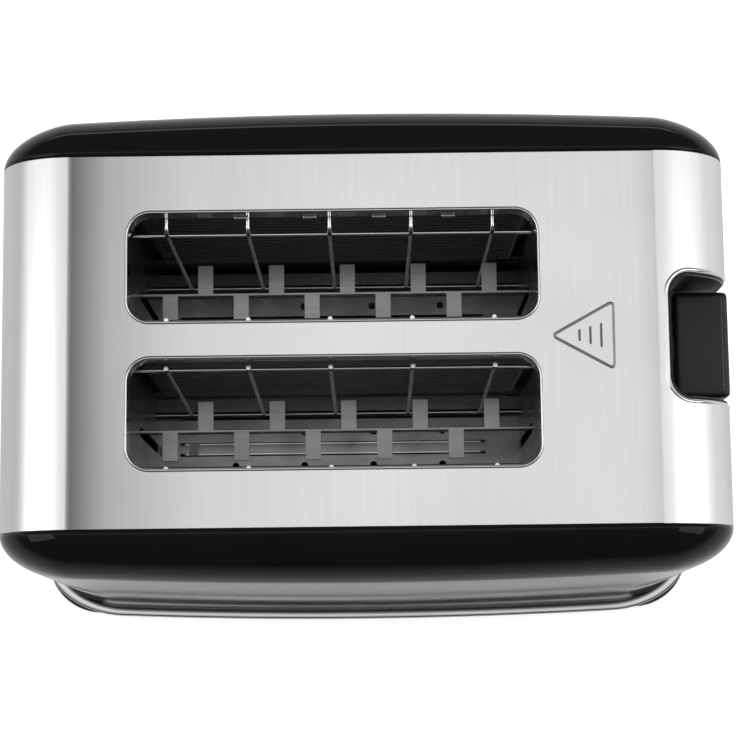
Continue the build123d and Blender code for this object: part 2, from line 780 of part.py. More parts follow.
# Heater cards: full width at the top and the bottom, notched between for the ribbon
run_left = chamber_left + card_notch
run_right = chamber_right - card_notch
card_ys = {
    "front_outer": -outer_card_y,
    "front_inner": -inner_card_y,
    "rear_inner": inner_card_y,
    "rear_outer": outer_card_y,
}
for label, y in card_ys.items():
    with BuildPart() as heater_card:
        with Locations((chamber_middle, y, floor_top)):
            Box(chamber_length, card_thick, card_top - floor_top, align=lowest)
        notch_low = wound_bottom - notch_margin
        notch_high = wound_top + notch_margin
        for edge_x, align_x in ((chamber_left, Align.MIN), (chamber_right, Align.MAX)):
            with Locations((edge_x, y, notch_low)):
                Box(card_notch, 4 * card_thick, notch_high - notch_low,
                    align=(align_x, Align.CENTER, Align.MIN), mode=Mode.SUBTRACT)
    save(heater_card, f"{label}_heater_card")

# Heater ribbons: each is one unbroken wire, level along both faces of its card,
# with a half turn round the card's edge that climbs half a pitch
wire_offset = card_thick / 2 + wire_lift + wire_radius
half_pitch = turn_pitch / 2
turn_radius = math.hypot(wire_offset, half_pitch / 2)
run_count = 2 * turn_count


def ribbon_corner(run, card_y):
    """Start and end of one level run: even runs go right on the front, odd ones back left."""
    z = wound_bottom + run * half_pitch
    if run % 2 == 0:
        return (run_left, card_y - wire_offset, z), (run_right, card_y - wire_offset, z)
    return (run_right, card_y + wire_offset, z), (run_left, card_y + wire_offset, z)


def ribbon_middle(run, card_y):
    """Outermost point of the half turn that follows a run."""
    z = wound_bottom + (run + 0.5) * half_pitch
    x = run_right + turn_radius if run % 2 == 0 else run_left - turn_radius
    return (x, card_y, z)


def least_gap():
    """Least clear distance between parts of one ribbon that don't follow each other."""
    step = 2.0
    points = []
    for run in range(run_count):
        start, end = (np.array(corner) for corner in ribbon_corner(run, 0))
        samples = np.arange(0, np.linalg.norm(end - start), step)
        points.append(start + np.outer(samples / np.linalg.norm(end - start), end - start))
        if run < run_count - 1:
            after = np.array(ribbon_corner(run + 1, 0)[0])
            middle = (end + after) / 2
            outward = np.array(ribbon_middle(run, 0)) - middle
            turn = np.linspace(0, math.pi, 6)[:, None]
            points.append(middle + np.cos(turn) * (end - middle) + np.sin(turn) * outward)
    points = np.concatenate(points)
    travel = np.concatenate([[0], np.cumsum(np.linalg.norm(np.diff(points, axis=0), axis=1))])
    beyond = math.pi * turn_radius + 2 * wire_radius
    return min(
        np.linalg.norm(points[travel > travel[i] + beyond] - points[i], axis=1).min(initial=height)
        for i in range(len(points))
    ) - 2 * wire_radius


print(f"heater ribbon: {turn_count} turns, least gap to itself {least_gap():.2f} mm")
for label, y in card_ys.items():
    with BuildPart() as heater_ribbon:
        with BuildLine():
            for run in range(run_count):
                start, end = ribbon_corner(run, y)
                Line(start, end)
                if run < run_count - 1:
                    ThreePointArc(end, ribbon_middle(run, y), ribbon_corner(run + 1, y)[0])
        with BuildSketch(Plane(origin=ribbon_corner(0, y)[0], z_dir=(1, 0, 0))):
            Circle(wire_radius)
        sweep()
    save(heater_ribbon, f"{label}_heater_ribbon")

# Bread guards: a pivot rod, upright wires and one long wire near their tops. The rear one's wires
# hook over at the top; the others stand straight and further back under the slot's edge.
guard_top_insets = {"front_outer": front_guard_top_inset, "rear_outer": rear_guard_top_inset}
for label, (side, toward) in guard_spots.items():
    top_inset = guard_top_insets.get(label, middle_guard_top_inset)
    pivot_y = slot_offset(side, toward * guard_pivot_offset)
    top_y = slot_offset(side, toward * (slot_width / 2 - top_inset))
    long_z = guard_top - long_wire_drop
    long_y = pivot_y + (top_y - pivot_y) * (long_z - guard_pivot_z) / (guard_top - guard_pivot_z)
    rod_length = chamber_length + 2 * (plate_thick + rod_overhang)
    wire_length = chamber_length - 2 * long_wire_inset
    with BuildPart() as bread_guard:
        with Locations(Plane(origin=(chamber_middle, pivot_y, guard_pivot_z), z_dir=(1, 0, 0))):
            Cylinder(guard_rod_radius, rod_length)
        with Locations(Plane(origin=(chamber_middle, long_y, long_z), z_dir=(1, 0, 0))):
            Cylinder(guard_wire_radius, wire_length)
        with BuildPart(mode=Mode.PRIVATE) as upright:
            with BuildLine() as wire_route:
                if label == "rear_outer":
                    FilletPolyline((0, pivot_y, guard_pivot_z), (0, top_y, guard_top),
                                   (0, top_y + side * guard_bend, guard_top), radius=guard_bend_radius)
                else:
                    Line((0, pivot_y, guard_pivot_z), (0, top_y, guard_top))
            with BuildSketch(Plane(origin=wire_route.line @ 0, z_dir=wire_route.line % 0)):
                Circle(guard_wire_radius)
            sweep()
        with Locations((slot_centre_x + guard_wire_shift, 0, 0)):
            with GridLocations(guard_wire_pitch, 1, guard_wire_count, 1):
                add(upright.part)
    save(bread_guard, f"{label}_bread_guard")

# Crumb tray and its handle, drawn out of the left end
tray_left = tray_face_thick - half_length
with BuildPart() as crumb_tray:
    with Locations((tray_left, 0, tray_bottom)):
        Box(tray_right - tray_left, 2 * tray_half_width, tray_height,
            align=(Align.MIN, Align.CENTER, Align.MIN))
    with Locations((tray_left + tray_wall, 0, tray_bottom + tray_wall)):
        Box(tray_right - tray_left - 2 * tray_wall, 2 * (tray_half_width - tray_wall), tray_height,
            align=(Align.MIN, Align.CENTER, Align.MIN), mode=Mode.SUBTRACT)
save(crumb_tray, "crumb_tray")

with BuildPart() as crumb_tray_handle:
    with Locations((-half_length, 0, panel_bottom + door_gap)):
        Box(tray_face_thick, 2 * tray_face_half, tray_face_height, align=(Align.MIN, Align.CENTER, Align.MIN))
    with BuildSketch(Plane.XY.offset(tray_lip_low)) as lip_plan:
        with Locations((-half_length - tray_lip_reach / 2, 0)):
            Rectangle(tray_lip_reach, 2 * tray_lip_half)
        fillet(lip_plan.vertices().group_by(Axis.X)[0], tray_lip_corner)
    extrude(amount=tray_lip_thick)
    fillet(crumb_tray_handle.faces().sort_by(Axis.X)[0].edges(), tray_lip_thick / 4)
save(crumb_tray_handle, "crumb_tray_handle")

# Control panel: a shell that stands on the base and closes the band under the channel
panel_half = bezel_half
panel_top = channel_floor - bezel_wall
panel_back = panel_front - panel_thick
leg_right = panel_front - panel_leg_inset
board_front = board_x + board_thick
board_half = panel_half - panel_thick - board_side_gap
board_top = panel_top - board_top_gap
boss_y = board_half - board_boss_inset
boss_zs = (board_boss_low, board_top - board_boss_inset)
with BuildPart() as control_panel:
    with Locations((panel_deep, 0, panel_bottom)):
        Box(panel_front - panel_deep, 2 * panel_half, panel_top - panel_bottom,
            align=(Align.MIN, Align.CENTER, Align.MIN))
    with Locations((panel_deep, 0, base_top)):
        Box(leg_right - panel_deep, 2 * panel_half, panel_bottom - base_top,
            align=(Align.MIN, Align.CENTER, Align.MIN))
    with Locations((panel_deep, 0, base_top)):
        Box(panel_back - panel_deep, 2 * (panel_half - panel_thick), height,
            align=(Align.MIN, Align.CENTER, Align.MIN), mode=Mode.SUBTRACT)
    for z in boss_zs:
        for y in (-boss_y, boss_y):
            with Locations(Plane(origin=(board_front, y, z), z_dir=(1, 0, 0))):
                Cylinder(board_boss_radius, panel_back - board_front, align=lowest)
                Cylinder(board_screw_radius + fit_gap, panel_back - board_front - panel_thick, align=lowest,
                         mode=Mode.SUBTRACT)
    with Locations(*[Plane(origin=(panel_front, y, button_z), z_dir=(1, 0, 0))
                     for y in (-button_pitch, 0, button_pitch)]):
        Cylinder(button_radius + bezel_gap, 4 * panel_thick, mode=Mode.SUBTRACT)
    with Locations(Plane(origin=(panel_front, 0, dial_z), z_dir=(1, 0, 0))):
        Cylinder(shaft_radius + dial_hole_gap, 4 * panel_thick, mode=Mode.SUBTRACT)
save(control_panel, "control_panel")

# Control board with its relay, chip and capacitor, and what is fixed to it
with BuildPart() as control_board:
    with Locations((board_x, 0, board_bottom)):
        Box(board_thick, 2 * board_half, board_top - board_bottom, align=(Align.MIN, Align.CENTER, Align.MIN))
    with Locations((board_x, *relay_spot)):
        Box(*relay_size, align=(Align.MAX, Align.CENTER, Align.MIN))
    with Locations((board_x, *chip_spot)):
        Box(*chip_size, align=(Align.MAX, Align.CENTER, Align.MIN))
    with Locations(Plane(origin=(board_x, *capacitor_spot), z_dir=(-1, 0, 0))):
        Cylinder(capacitor_radius, capacitor_length, align=lowest)
    for z in boss_zs:
        for y in (-boss_y, boss_y):
            with Locations(Plane(origin=(board_x, y, z), z_dir=(1, 0, 0))):
                Cylinder(board_screw_radius + running_gap, 4 * board_thick, mode=Mode.SUBTRACT)
save(control_board, "control_board")

with BuildPart() as board_screws:
    for z in boss_zs:
        for y in (-boss_y, boss_y):
            with Locations(Plane(origin=(board_x, y, z), z_dir=(1, 0, 0))):
                Cylinder(board_screw_radius, board_screw_length, align=lowest)
                Cylinder(board_boss_radius, screw_head, align=(Align.CENTER, Align.CENTER, Align.MAX))
save(board_screws, "board_screws")

button_ys = {"cancel_button": -button_pitch, "reheat_button": 0.0, "defrost_button": button_pitch}
with BuildPart() as button_switches:
    for y in button_ys.values():
        with Locations((board_front, y, button_z)):
            Box(switch_height, 2 * switch_half, 2 * switch_half,
                align=(Align.MIN, Align.CENTER, Align.CENTER))
save(button_switches, "button_switches")

# Push buttons: a cap in the panel and a stem that ends just off its switch
cap_front = panel_front + button_proud
cap_back = cap_front - button_length
stem_start = board_front + switch_height + button_travel + stem_rest_gap
for label, y in button_ys.items():
    with BuildPart() as button:
        with Locations(Plane(origin=(cap_back, y, button_z), z_dir=(1, 0, 0))):
            Cylinder(button_radius, button_length, align=lowest)
        fillet(button.faces().sort_by(Axis.X)[-1].edges(), button_proud / 3)
        with Locations(Plane(origin=(stem_start, y, button_z), z_dir=(1, 0, 0))):
            Cylinder(button_stem_radius, cap_back - stem_start, align=lowest)
    save(button, label)

# Browning control: potentiometer, shaft, knob and pointer line
dial_back = panel_front + dial_gap
dial_front = dial_back + dial_reach
shaft_end = dial_front - dial_cap
with BuildPart() as timer_potentiometer:
    with Locations((board_front, 0, dial_z)):
        Box(pot_depth, 2 * pot_half, 2 * pot_half, align=(Align.MIN, Align.CENTER, Align.CENTER))
save(timer_potentiometer, "timer_potentiometer")

shaft_start = board_front + pot_depth + running_gap
with BuildPart() as timer_shaft:
    with Locations(Plane(origin=(shaft_start, 0, dial_z), z_dir=(1, 0, 0))):
        Cylinder(shaft_radius, shaft_end - shaft_start, align=lowest)
save(timer_shaft, "timer_shaft")

with BuildPart() as browning_knob:
    with BuildSketch(Plane(origin=(dial_back, 0, dial_z), z_dir=(1, 0, 0))):
        Circle(dial_radius)
    with BuildSketch(Plane(origin=(dial_front, 0, dial_z), z_dir=(1, 0, 0))):
        Circle(dial_radius - dial_taper)
    loft()
    fillet(browning_knob.faces().sort_by(Axis.X)[-1].edges(), dial_taper)
    with Locations(Plane(origin=(dial_back, 0, dial_z), z_dir=(1, 0, 0))):
        Cylinder(shaft_radius + fit_gap, shaft_end - dial_back, align=lowest, mode=Mode.SUBTRACT)
    with Locations((dial_front, 0, dial_z + pointer_drop)):
        Box(pointer_depth, *pointer_size, align=(Align.MAX, Align.CENTER, Align.MIN), mode=Mode.SUBTRACT)
save(browning_knob, "browning_knob")

with BuildPart() as knob_pointer:
    with Locations((dial_front, 0, dial_z + pointer_drop)):
        Box(pointer_depth, *pointer_size, align=(Align.MAX, Align.CENTER, Align.MIN))
save(knob_pointer, "knob_pointer")

# Cord gland in the rear cover, and the terminal block behind it
gland_wall_y = cover_y - crown_drop(gland_x) - cover_lean * (gland_z - shell_bottom)
with BuildPart() as cord_gland:
    gland_end = gland_wall_y + slope_allowance + gland_flange
    gland_start = gland_wall_y - cover_wall - slope_allowance - retainer_thick
    with Locations(Plane(origin=(gland_x, gland_start, gland_z), z_dir=(0, 1, 0))):
        Cylinder(gland_radius, gland_end - gland_start, align=lowest)
        Cylinder(gland_radius + gland_flange, retainer_thick, align=lowest)
    with Locations(Plane(origin=(gland_x, gland_end, gland_z), z_dir=(0, 1, 0))):
        Cylinder(gland_radius + gland_flange, gland_flange, align=(Align.CENTER, Align.CENTER, Align.MAX))
    with Locations(Plane(origin=(gland_x, gland_end, gland_z), z_dir=(0, 1, 0))):
        Cylinder(cord_hole, 8 * shoulder, mode=Mode.SUBTRACT)
save(cord_gland, "cord_gland")

terminal_x = terminal_inset[0] - half_length
terminal_y = half_width - terminal_inset[1]
with BuildPart() as terminal_block:
    with Locations((terminal_x, terminal_y, base_top)):
        Box(*terminal_size, align=lowest)
    with Locations((terminal_x, terminal_y, base_top + terminal_size[2])):
        with GridLocations(terminal_pitch, 1, 3, 1):
            Cylinder(screw_radius, 2 * terminal_size[2] / 3, mode=Mode.SUBTRACT)
save(terminal_block, "terminal_block")

# Screws that hold the covers from below and the end plates from above
with BuildPart() as case_screws:
    with Locations(*[(x, y, foot_height + head_recess) for x, y in case_screw_spots]):
        Cylinder(screw_radius, case_screw_length, align=lowest)
        Cylinder(screw_head_radius, screw_head, align=(Align.CENTER, Align.CENTER, Align.MAX))
save(case_screws, "case_screws")

with BuildPart() as frame_screws:
    with Locations(*[(x, y, plate_bottom + plate_thick) for x, y in pad_spots]):
        Cylinder(screw_radius, frame_screw_length, align=(Align.CENTER, Align.CENTER, Align.MAX))
        Cylinder(screw_head_radius, screw_head, align=lowest)
save(frame_screws, "frame_screws")
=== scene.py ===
import json
import math
import bmesh
import bpy
import numpy as np
from mathutils import Matrix, Vector


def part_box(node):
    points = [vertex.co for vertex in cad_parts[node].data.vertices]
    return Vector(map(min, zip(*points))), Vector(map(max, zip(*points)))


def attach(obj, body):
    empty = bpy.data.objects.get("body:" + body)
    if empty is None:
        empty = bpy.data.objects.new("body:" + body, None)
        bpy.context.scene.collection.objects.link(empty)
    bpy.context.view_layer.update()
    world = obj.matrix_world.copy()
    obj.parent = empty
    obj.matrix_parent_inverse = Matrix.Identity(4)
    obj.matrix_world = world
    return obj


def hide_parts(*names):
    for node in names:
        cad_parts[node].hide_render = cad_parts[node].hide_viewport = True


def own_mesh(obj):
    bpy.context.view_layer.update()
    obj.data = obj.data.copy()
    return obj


# Two-slice toaster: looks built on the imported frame, in metres
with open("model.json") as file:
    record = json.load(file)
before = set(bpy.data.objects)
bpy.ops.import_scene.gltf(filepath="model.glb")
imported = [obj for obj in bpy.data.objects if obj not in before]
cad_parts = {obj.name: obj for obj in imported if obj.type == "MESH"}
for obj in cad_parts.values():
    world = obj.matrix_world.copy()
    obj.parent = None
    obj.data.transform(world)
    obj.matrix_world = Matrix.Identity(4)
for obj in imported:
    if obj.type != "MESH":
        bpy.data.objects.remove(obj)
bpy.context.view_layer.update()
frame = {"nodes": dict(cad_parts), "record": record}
nodes = frame["nodes"]
record = frame["record"]
slotOf = {part["node"]: part["material_slot"] for part in record["subparts"]}
print("frame loaded:", len(nodes), "nodes")

# Camera: high over the front edge, where the photograph was taken from
view = {
    "place": (0.00105, -0.11191, 0.91354),
    "right": (0.999931, -0.011621, -0.001425),
    "up": (0.011707, 0.990287, 0.138541),
    "forward": (0.000199, 0.138549, -0.990356),
    "focalPixels": 2096.58,
    "imagePixels": 736,
    "sensor": 36.0,
}
cameraData = bpy.data.cameras.new("camera")
cameraData.sensor_width = view["sensor"]
cameraData.lens = view["focalPixels"] / view["imagePixels"] * view["sensor"]
cameraData.clip_start = 0.01
camera = bpy.data.objects.new("camera", cameraData)
bpy.context.scene.collection.objects.link(camera)
turn = Matrix((view["right"], view["up"], [-c for c in view["forward"]])).transposed()
camera.matrix_world = Matrix.Translation(view["place"]) @ turn.to_4x4()
bpy.context.scene.camera = camera
bpy.context.scene.view_settings.view_transform = "Standard"

# Sizes that several pieces share
bandLow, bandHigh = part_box("steel_wrap")[0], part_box("lever_end_band")[1]
band = {
    "halfLength": bandHigh.x,
    "halfWidth": bandHigh.y,
    "top": bandHigh.z,
    "bottom": bandLow.z,
    "corner": 0.0275,
}
slot = {"offsetY": 0.0259}  # from the centre line to the middle of either bread slot


# Mesh code


def putMesh(name, points, faces, body, slotName, replaced=(), smoothAngle=40, recalc=True, merge=1e-6):
    # Turns arrays of points and face indices into a piece that rides on a body
    mesh = bpy.data.meshes.new(name)
    mesh.from_pydata(np.asarray(points, float).reshape(-1, 3).tolist(), [], [list(f) for f in faces])
    form = bmesh.new()
    form.from_mesh(mesh)
    bmesh.ops.remove_doubles(form, verts=form.verts, dist=merge)
    bmesh.ops.dissolve_degenerate(form, edges=form.edges, dist=merge)
    if recalc:
        bmesh.ops.recalc_face_normals(form, faces=form.faces)
    form.to_mesh(mesh)
    form.free()
    mesh.shade_smooth()
    mesh.set_sharp_from_angle(angle=math.radians(smoothAngle))
    piece = bpy.data.objects.new(name, mesh)
    bpy.context.scene.collection.objects.link(piece)
    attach(piece, body)
    if replaced:
        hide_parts(*replaced)
    mesh.materials.append(finishes[slotName])
    return piece


def gridFaces(rows, columns, wrapRows=False, wrapColumns=False):
    # Quads between neighbours of a grid, row by row
    r = np.arange(rows if wrapRows else rows - 1)
    c = np.arange(columns if wrapColumns else columns - 1)
    r, c = (a.ravel() for a in np.meshgrid(r, c, indexing="ij"))
    r2, c2 = (r + 1) % rows, (c + 1) % columns
    return np.stack([r * columns + c, r2 * columns + c, r2 * columns + c2, r * columns + c2], 1)


def carried(path, side, lift, profile, closed=True):
    # Point = path point + profile's first number along side + its second number along lift
    points = path[:, None] + profile[None, :, :1] * side[:, None] + profile[None, :, 1:] * lift[:, None]
    faces = gridFaces(len(path), len(profile), closed, True).tolist()
    if not closed:
        last = (len(path) - 1) * len(profile)
        faces.append(list(range(len(profile))))
        faces.append(list(range(last, last + len(profile))))
    return points, faces


def circleProfile(radius, count=12, centre=(0.0, 0.0)):
    # Points at equal angles on a circle
    a = np.linspace(0, 2 * math.pi, count, endpoint=False)
    return np.stack([centre[0] + radius * np.cos(a), centre[1] + radius * np.sin(a)], 1)


def roundedPath(halfX, halfY, cornerX, cornerY, bulge, perCorner=18, perSide=24):
    # Rounded rectangle from quarter ellipses; its long sides are bowed out by bulge
    a = np.linspace(0, math.pi / 2, perCorner)
    quarter = np.stack([halfX - cornerX + cornerX * np.cos(a), halfY - cornerY + cornerY * np.sin(a)], 1)
    x = np.linspace(halfX - cornerX, 0, perSide)[1:]
    half = np.concatenate([quarter, np.stack([x, np.full_like(x, halfY)], 1)])
    half[:, 1] += bulge * (1 - (half[:, 0] / halfX) ** 2) * (half[:, 1] > halfY - cornerY + 1e-9)
    left = half[::-1][1:] * (-1, 1)
    upper = np.concatenate([half, left])
    return np.concatenate([upper, upper[::-1] * (1, -1)])


def pathSides(path, closed=True):
    # Unit vectors to the right of a plan path's direction of travel
    if closed:
        along = np.roll(path, -1, 0) - np.roll(path, 1, 0)
    else:
        along = np.gradient(path, axis=0)
    along /= np.linalg.norm(along, axis=1)[:, None]
    return np.stack([along[:, 1], -along[:, 0]], 1)


def keepApart(flat, least=1e-6):
    # Drops points that repeat the one before them
    step = np.linalg.norm(flat - np.roll(flat, 1, 0), axis=1)
    return flat[step > least]


def inSpace(flat, z=0.0):
    # Plan points lifted to a height
    return np.concatenate([flat, np.full((len(flat), 1), z)], 1)


def outline(s):
    # Place and outward normal on the band's end view at arc length s from the left foot
    r, rise = band["corner"], band["top"] - band["corner"] - band["bottom"]
    arc, flat = r * math.pi / 2, 2 * (band["halfLength"] - r)
    first = np.clip((s - rise) / arc, 0, 1) * math.pi / 2
    second = np.clip((s - rise - arc - flat) / arc, 0, 1) * math.pi / 2
    x = -band["halfLength"] + r * (1 - np.cos(first)) + np.clip(s - rise - arc, 0, flat) + r * np.sin(second)
    z = (band["bottom"] + np.clip(s, 0, rise) + r * np.sin(first) - r * (1 - np.cos(second))
         - np.clip(s - rise - 2 * arc - flat, 0, rise))
    angle = first + second
    return np.stack([x, z], -1), np.stack([-np.cos(angle), np.sin(angle)], -1)


outlineLength = (2 * (band["top"] - band["corner"] - band["bottom"]) + band["corner"] * math.pi
                 + 2 * (band["halfLength"] - band["corner"]))


def onBand(s, y, lift):
    # Point on the band at arc length s and width y, raised along the normal by lift
    spot, normal = outline(s)
    spot = spot + normal * np.asarray(lift)[..., None]
    return np.stack([spot[..., 0], y, spot[..., 1]], -1)


# Materials: the grain's fineness and depth, and the size and reach of the wiped clouds

wear = {
    "grainDetail": 4.0, "grainDepth": 0.0002,
    "cloudScale": 14.0, "cloudDetail": 6.0, "cloudTwist": 0.6, "cloudFrom": 0.38, "cloudTo": 0.85,
}


def makeGroup(name, inputs, outputs):
    # Empty shader group with named sockets
    group = bpy.data.node_groups.new(name, "ShaderNodeTree")
    for socketName, kind, value in inputs:
        socket = group.interface.new_socket(socketName, in_out="INPUT", socket_type=kind)
        if value is not None:
            socket.default_value = value
    for socketName, kind in outputs:
        group.interface.new_socket(socketName, in_out="OUTPUT", socket_type=kind)
    return group, group.nodes.new("NodeGroupInput"), group.nodes.new("NodeGroupOutput")


def grainGroup():
    # Stretched noise for brushed, rolled or moulded surfaces: a value from 0 to 1 and a bumped normal
    group, source, sink = makeGroup(
        "surfaceGrain",
        [("Stretch", "NodeSocketVector", (1, 1, 1)), ("Scale", "NodeSocketFloat", 100.0),
         ("Height", "NodeSocketFloat", 0.2)],
        [("Value", "NodeSocketFloat"), ("Normal", "NodeSocketVector")])
    n, link = group.nodes, group.links.new
    place = n.new("ShaderNodeTexCoord")
    stretched = n.new("ShaderNodeVectorMath")
    stretched.operation = "MULTIPLY"
    noise = n.new("ShaderNodeTexNoise")
    noise.inputs["Detail"].default_value = wear["grainDetail"]
    bump = n.new("ShaderNodeBump")
    bump.inputs["Distance"].default_value = wear["grainDepth"]
    link(place.outputs["Object"], stretched.inputs[0])
    link(source.outputs["Stretch"], stretched.inputs[1])
    link(stretched.outputs[0], noise.inputs["Vector"])
    link(source.outputs["Scale"], noise.inputs["Scale"])
    link(noise.outputs["Fac"], bump.inputs["Height"])
    link(source.outputs["Height"], bump.inputs["Strength"])
    link(noise.outputs["Fac"], sink.inputs["Value"])
    link(bump.outputs["Normal"], sink.inputs["Normal"])
    return group


def handlingGroup():
    # Broad soft clouds where a surface was wiped and handled: a mask from 0 to 1
    group, source, sink = makeGroup(
        "handling",
        [("Scale", "NodeSocketFloat", 12.0), ("Cover", "NodeSocketFloat", 0.5)],
        [("Mask", "NodeSocketFloat")])
    n, link = group.nodes, group.links.new
    place = n.new("ShaderNodeTexCoord")
    noise = n.new("ShaderNodeTexNoise")
    noise.inputs["Detail"].default_value = wear["cloudDetail"]
    noise.inputs["Distortion"].default_value = wear["cloudTwist"]
    spread = n.new("ShaderNodeMapRange")
    link(place.outputs["Object"], noise.inputs["Vector"])
    link(source.outputs["Scale"], noise.inputs["Scale"])
    link(noise.outputs["Fac"], spread.inputs["Value"])
    link(source.outputs["Cover"], spread.inputs["From Min"])
    spread.inputs["From Max"].default_value = wear["cloudTo"]
    link(spread.outputs["Result"], sink.inputs["Mask"])
    return group


grain, handling = grainGroup(), handlingGroup()

# Each finish: two colours that it drifts between, its gloss range, and its grain
finishTable = {
    # The steel band's colour also carries painted reflection and shade along X
    "steel_band": dict(colors=((0.74, 0.74, 0.745), (0.84, 0.84, 0.845)), rough=(0.33, 0.40), metal=1.0,
                       stretch=(1, 0.03, 1), scale=900, height=0.06, paintedReflection="band"),
    "gloss_black": dict(colors=((0.0035, 0.0035, 0.004), (0.006, 0.006, 0.0065)), rough=(0.06, 0.10),
                        metal=0.0, stretch=(1, 1, 1), scale=60, height=0.008, specular=0.14),
    "polished_trim": dict(colors=((0.55, 0.55, 0.56), (0.68, 0.68, 0.69)), rough=(0.12, 0.2), metal=1.0,
                          stretch=(0.1, 0.1, 1), scale=700, height=0.04),
    "base_black": dict(colors=((0.012, 0.012, 0.013), (0.022, 0.022, 0.023)), rough=(0.5, 0.65), metal=0.0,
                       stretch=(1, 1, 1), scale=1800, height=0.5),
    "foot_rubber": dict(colors=((0.014, 0.014, 0.014), (0.03, 0.03, 0.03)), rough=(0.7, 0.85), metal=0.0,
                        stretch=(1, 1, 1), scale=2500, height=0.5),
    "liner_black": dict(colors=((0.004, 0.004, 0.0045), (0.007, 0.007, 0.0075)), rough=(0.35, 0.48),
                        metal=0.0, stretch=(1, 1, 1), scale=2200, height=0.3, specular=0.2),
    "lever_black": dict(colors=((0.008, 0.008, 0.009), (0.013, 0.013, 0.014)), rough=(0.32, 0.45), metal=0.0,
                        stretch=(1, 1, 1), scale=2400, height=0.3, specular=0.3),
    "panel_black": dict(colors=((0.007, 0.007, 0.008), (0.012, 0.012, 0.013)), rough=(0.14, 0.24), metal=0.0,
                        stretch=(1, 1, 1), scale=1200, height=0.08, coat=0.3),
    "white_mark": dict(colors=((0.72, 0.72, 0.71), (0.82, 0.82, 0.81)), rough=(0.3, 0.4), metal=0.0,
                       stretch=(1, 1, 1), scale=800, height=0.05),
    "button_grey": dict(colors=((0.12, 0.12, 0.125), (0.17, 0.17, 0.175)), rough=(0.35, 0.48), metal=0.0,
                        stretch=(1, 1, 1), scale=2200, height=0.2),
    "plated_sheet": dict(colors=((0.2, 0.2, 0.195), (0.32, 0.32, 0.315)), rough=(0.22, 0.4), metal=1.0,
                         stretch=(0.2, 1, 0.2), scale=300, height=0.1),
    "bright_sheet": dict(colors=((0.5, 0.49, 0.46), (0.66, 0.65, 0.63)), rough=(0.22, 0.4), metal=1.0,
                         stretch=(0.06, 1, 1), scale=400, height=0.1),
    "carrier_steel": dict(colors=((0.17, 0.17, 0.17), (0.27, 0.27, 0.27)), rough=(0.25, 0.4), metal=1.0,
                          stretch=(0.08, 1, 1), scale=500, height=0.1),
    "bright_wire": dict(colors=((0.62, 0.62, 0.63), (0.78, 0.78, 0.79)), rough=(0.14, 0.26), metal=1.0,
                        stretch=(1, 1, 0.1), scale=600, height=0.06),
    "core_iron": dict(colors=((0.13, 0.13, 0.135), (0.22, 0.21, 0.2)), rough=(0.4, 0.6), metal=1.0,
                      stretch=(1, 1, 0.05), scale=900, height=0.4),
    "copper_coil": dict(colors=((0.42, 0.15, 0.06), (0.58, 0.24, 0.1)), rough=(0.25, 0.4), metal=1.0,
                        stretch=(1, 1, 1), scale=700, height=0.1, coat=0.5),
    "bushing_brass": dict(colors=((0.55, 0.4, 0.16), (0.68, 0.52, 0.24)), rough=(0.22, 0.4), metal=1.0,
                          stretch=(1, 1, 0.1), scale=500, height=0.1),
    "terminal_plastic": dict(colors=((0.5, 0.48, 0.42), (0.6, 0.58, 0.52)), rough=(0.45, 0.6), metal=0.0,
                             stretch=(1, 1, 1), scale=1500, height=0.2),
    "board_green": dict(colors=((0.015, 0.11, 0.045), (0.03, 0.18, 0.08)), rough=(0.3, 0.45), metal=0.0,
                        stretch=(1, 1, 0.3), scale=350, height=0.15, coat=0.3),
    "screw_steel": dict(colors=((0.42, 0.42, 0.43), (0.58, 0.58, 0.58)), rough=(0.25, 0.4), metal=1.0,
                        stretch=(1, 1, 1), scale=900, height=0.1),
    "mica": dict(colors=((0.07, 0.062, 0.055), (0.14, 0.125, 0.11)), rough=(0.35, 0.6), metal=0.0,
                 stretch=(1, 1, 1.6), scale=260, height=0.3),
    "heater_alloy": dict(colors=((0.2, 0.19, 0.18), (0.36, 0.34, 0.31)), rough=(0.35, 0.5), metal=1.0,
                         stretch=(0.1, 1, 1), scale=500, height=0.1),
}
# Painted reflection and shade in the band's colour, as pairs of a place along X and a multiplier:
# painted dull beside the left bend, bright over the middle, even at the right
bandPaintedReflection = {
    "ramp": ((-0.131, 0.66), (-0.1215, 0.7), (-0.1185, 1.0), (-0.1040, 1.0), (-0.1032, 0.2),
             (-0.0895, 0.62), (-0.060, 0.92), (0.0, 1.04), (0.095, 1.0), (0.1024, 0.84),
             (0.1036, 1.06), (0.1225, 1.0), (0.131, 0.66)),
    "ceiling": 1.1,  # the curve holds tones from 0 to 1, so they are divided by this and scaled back
}


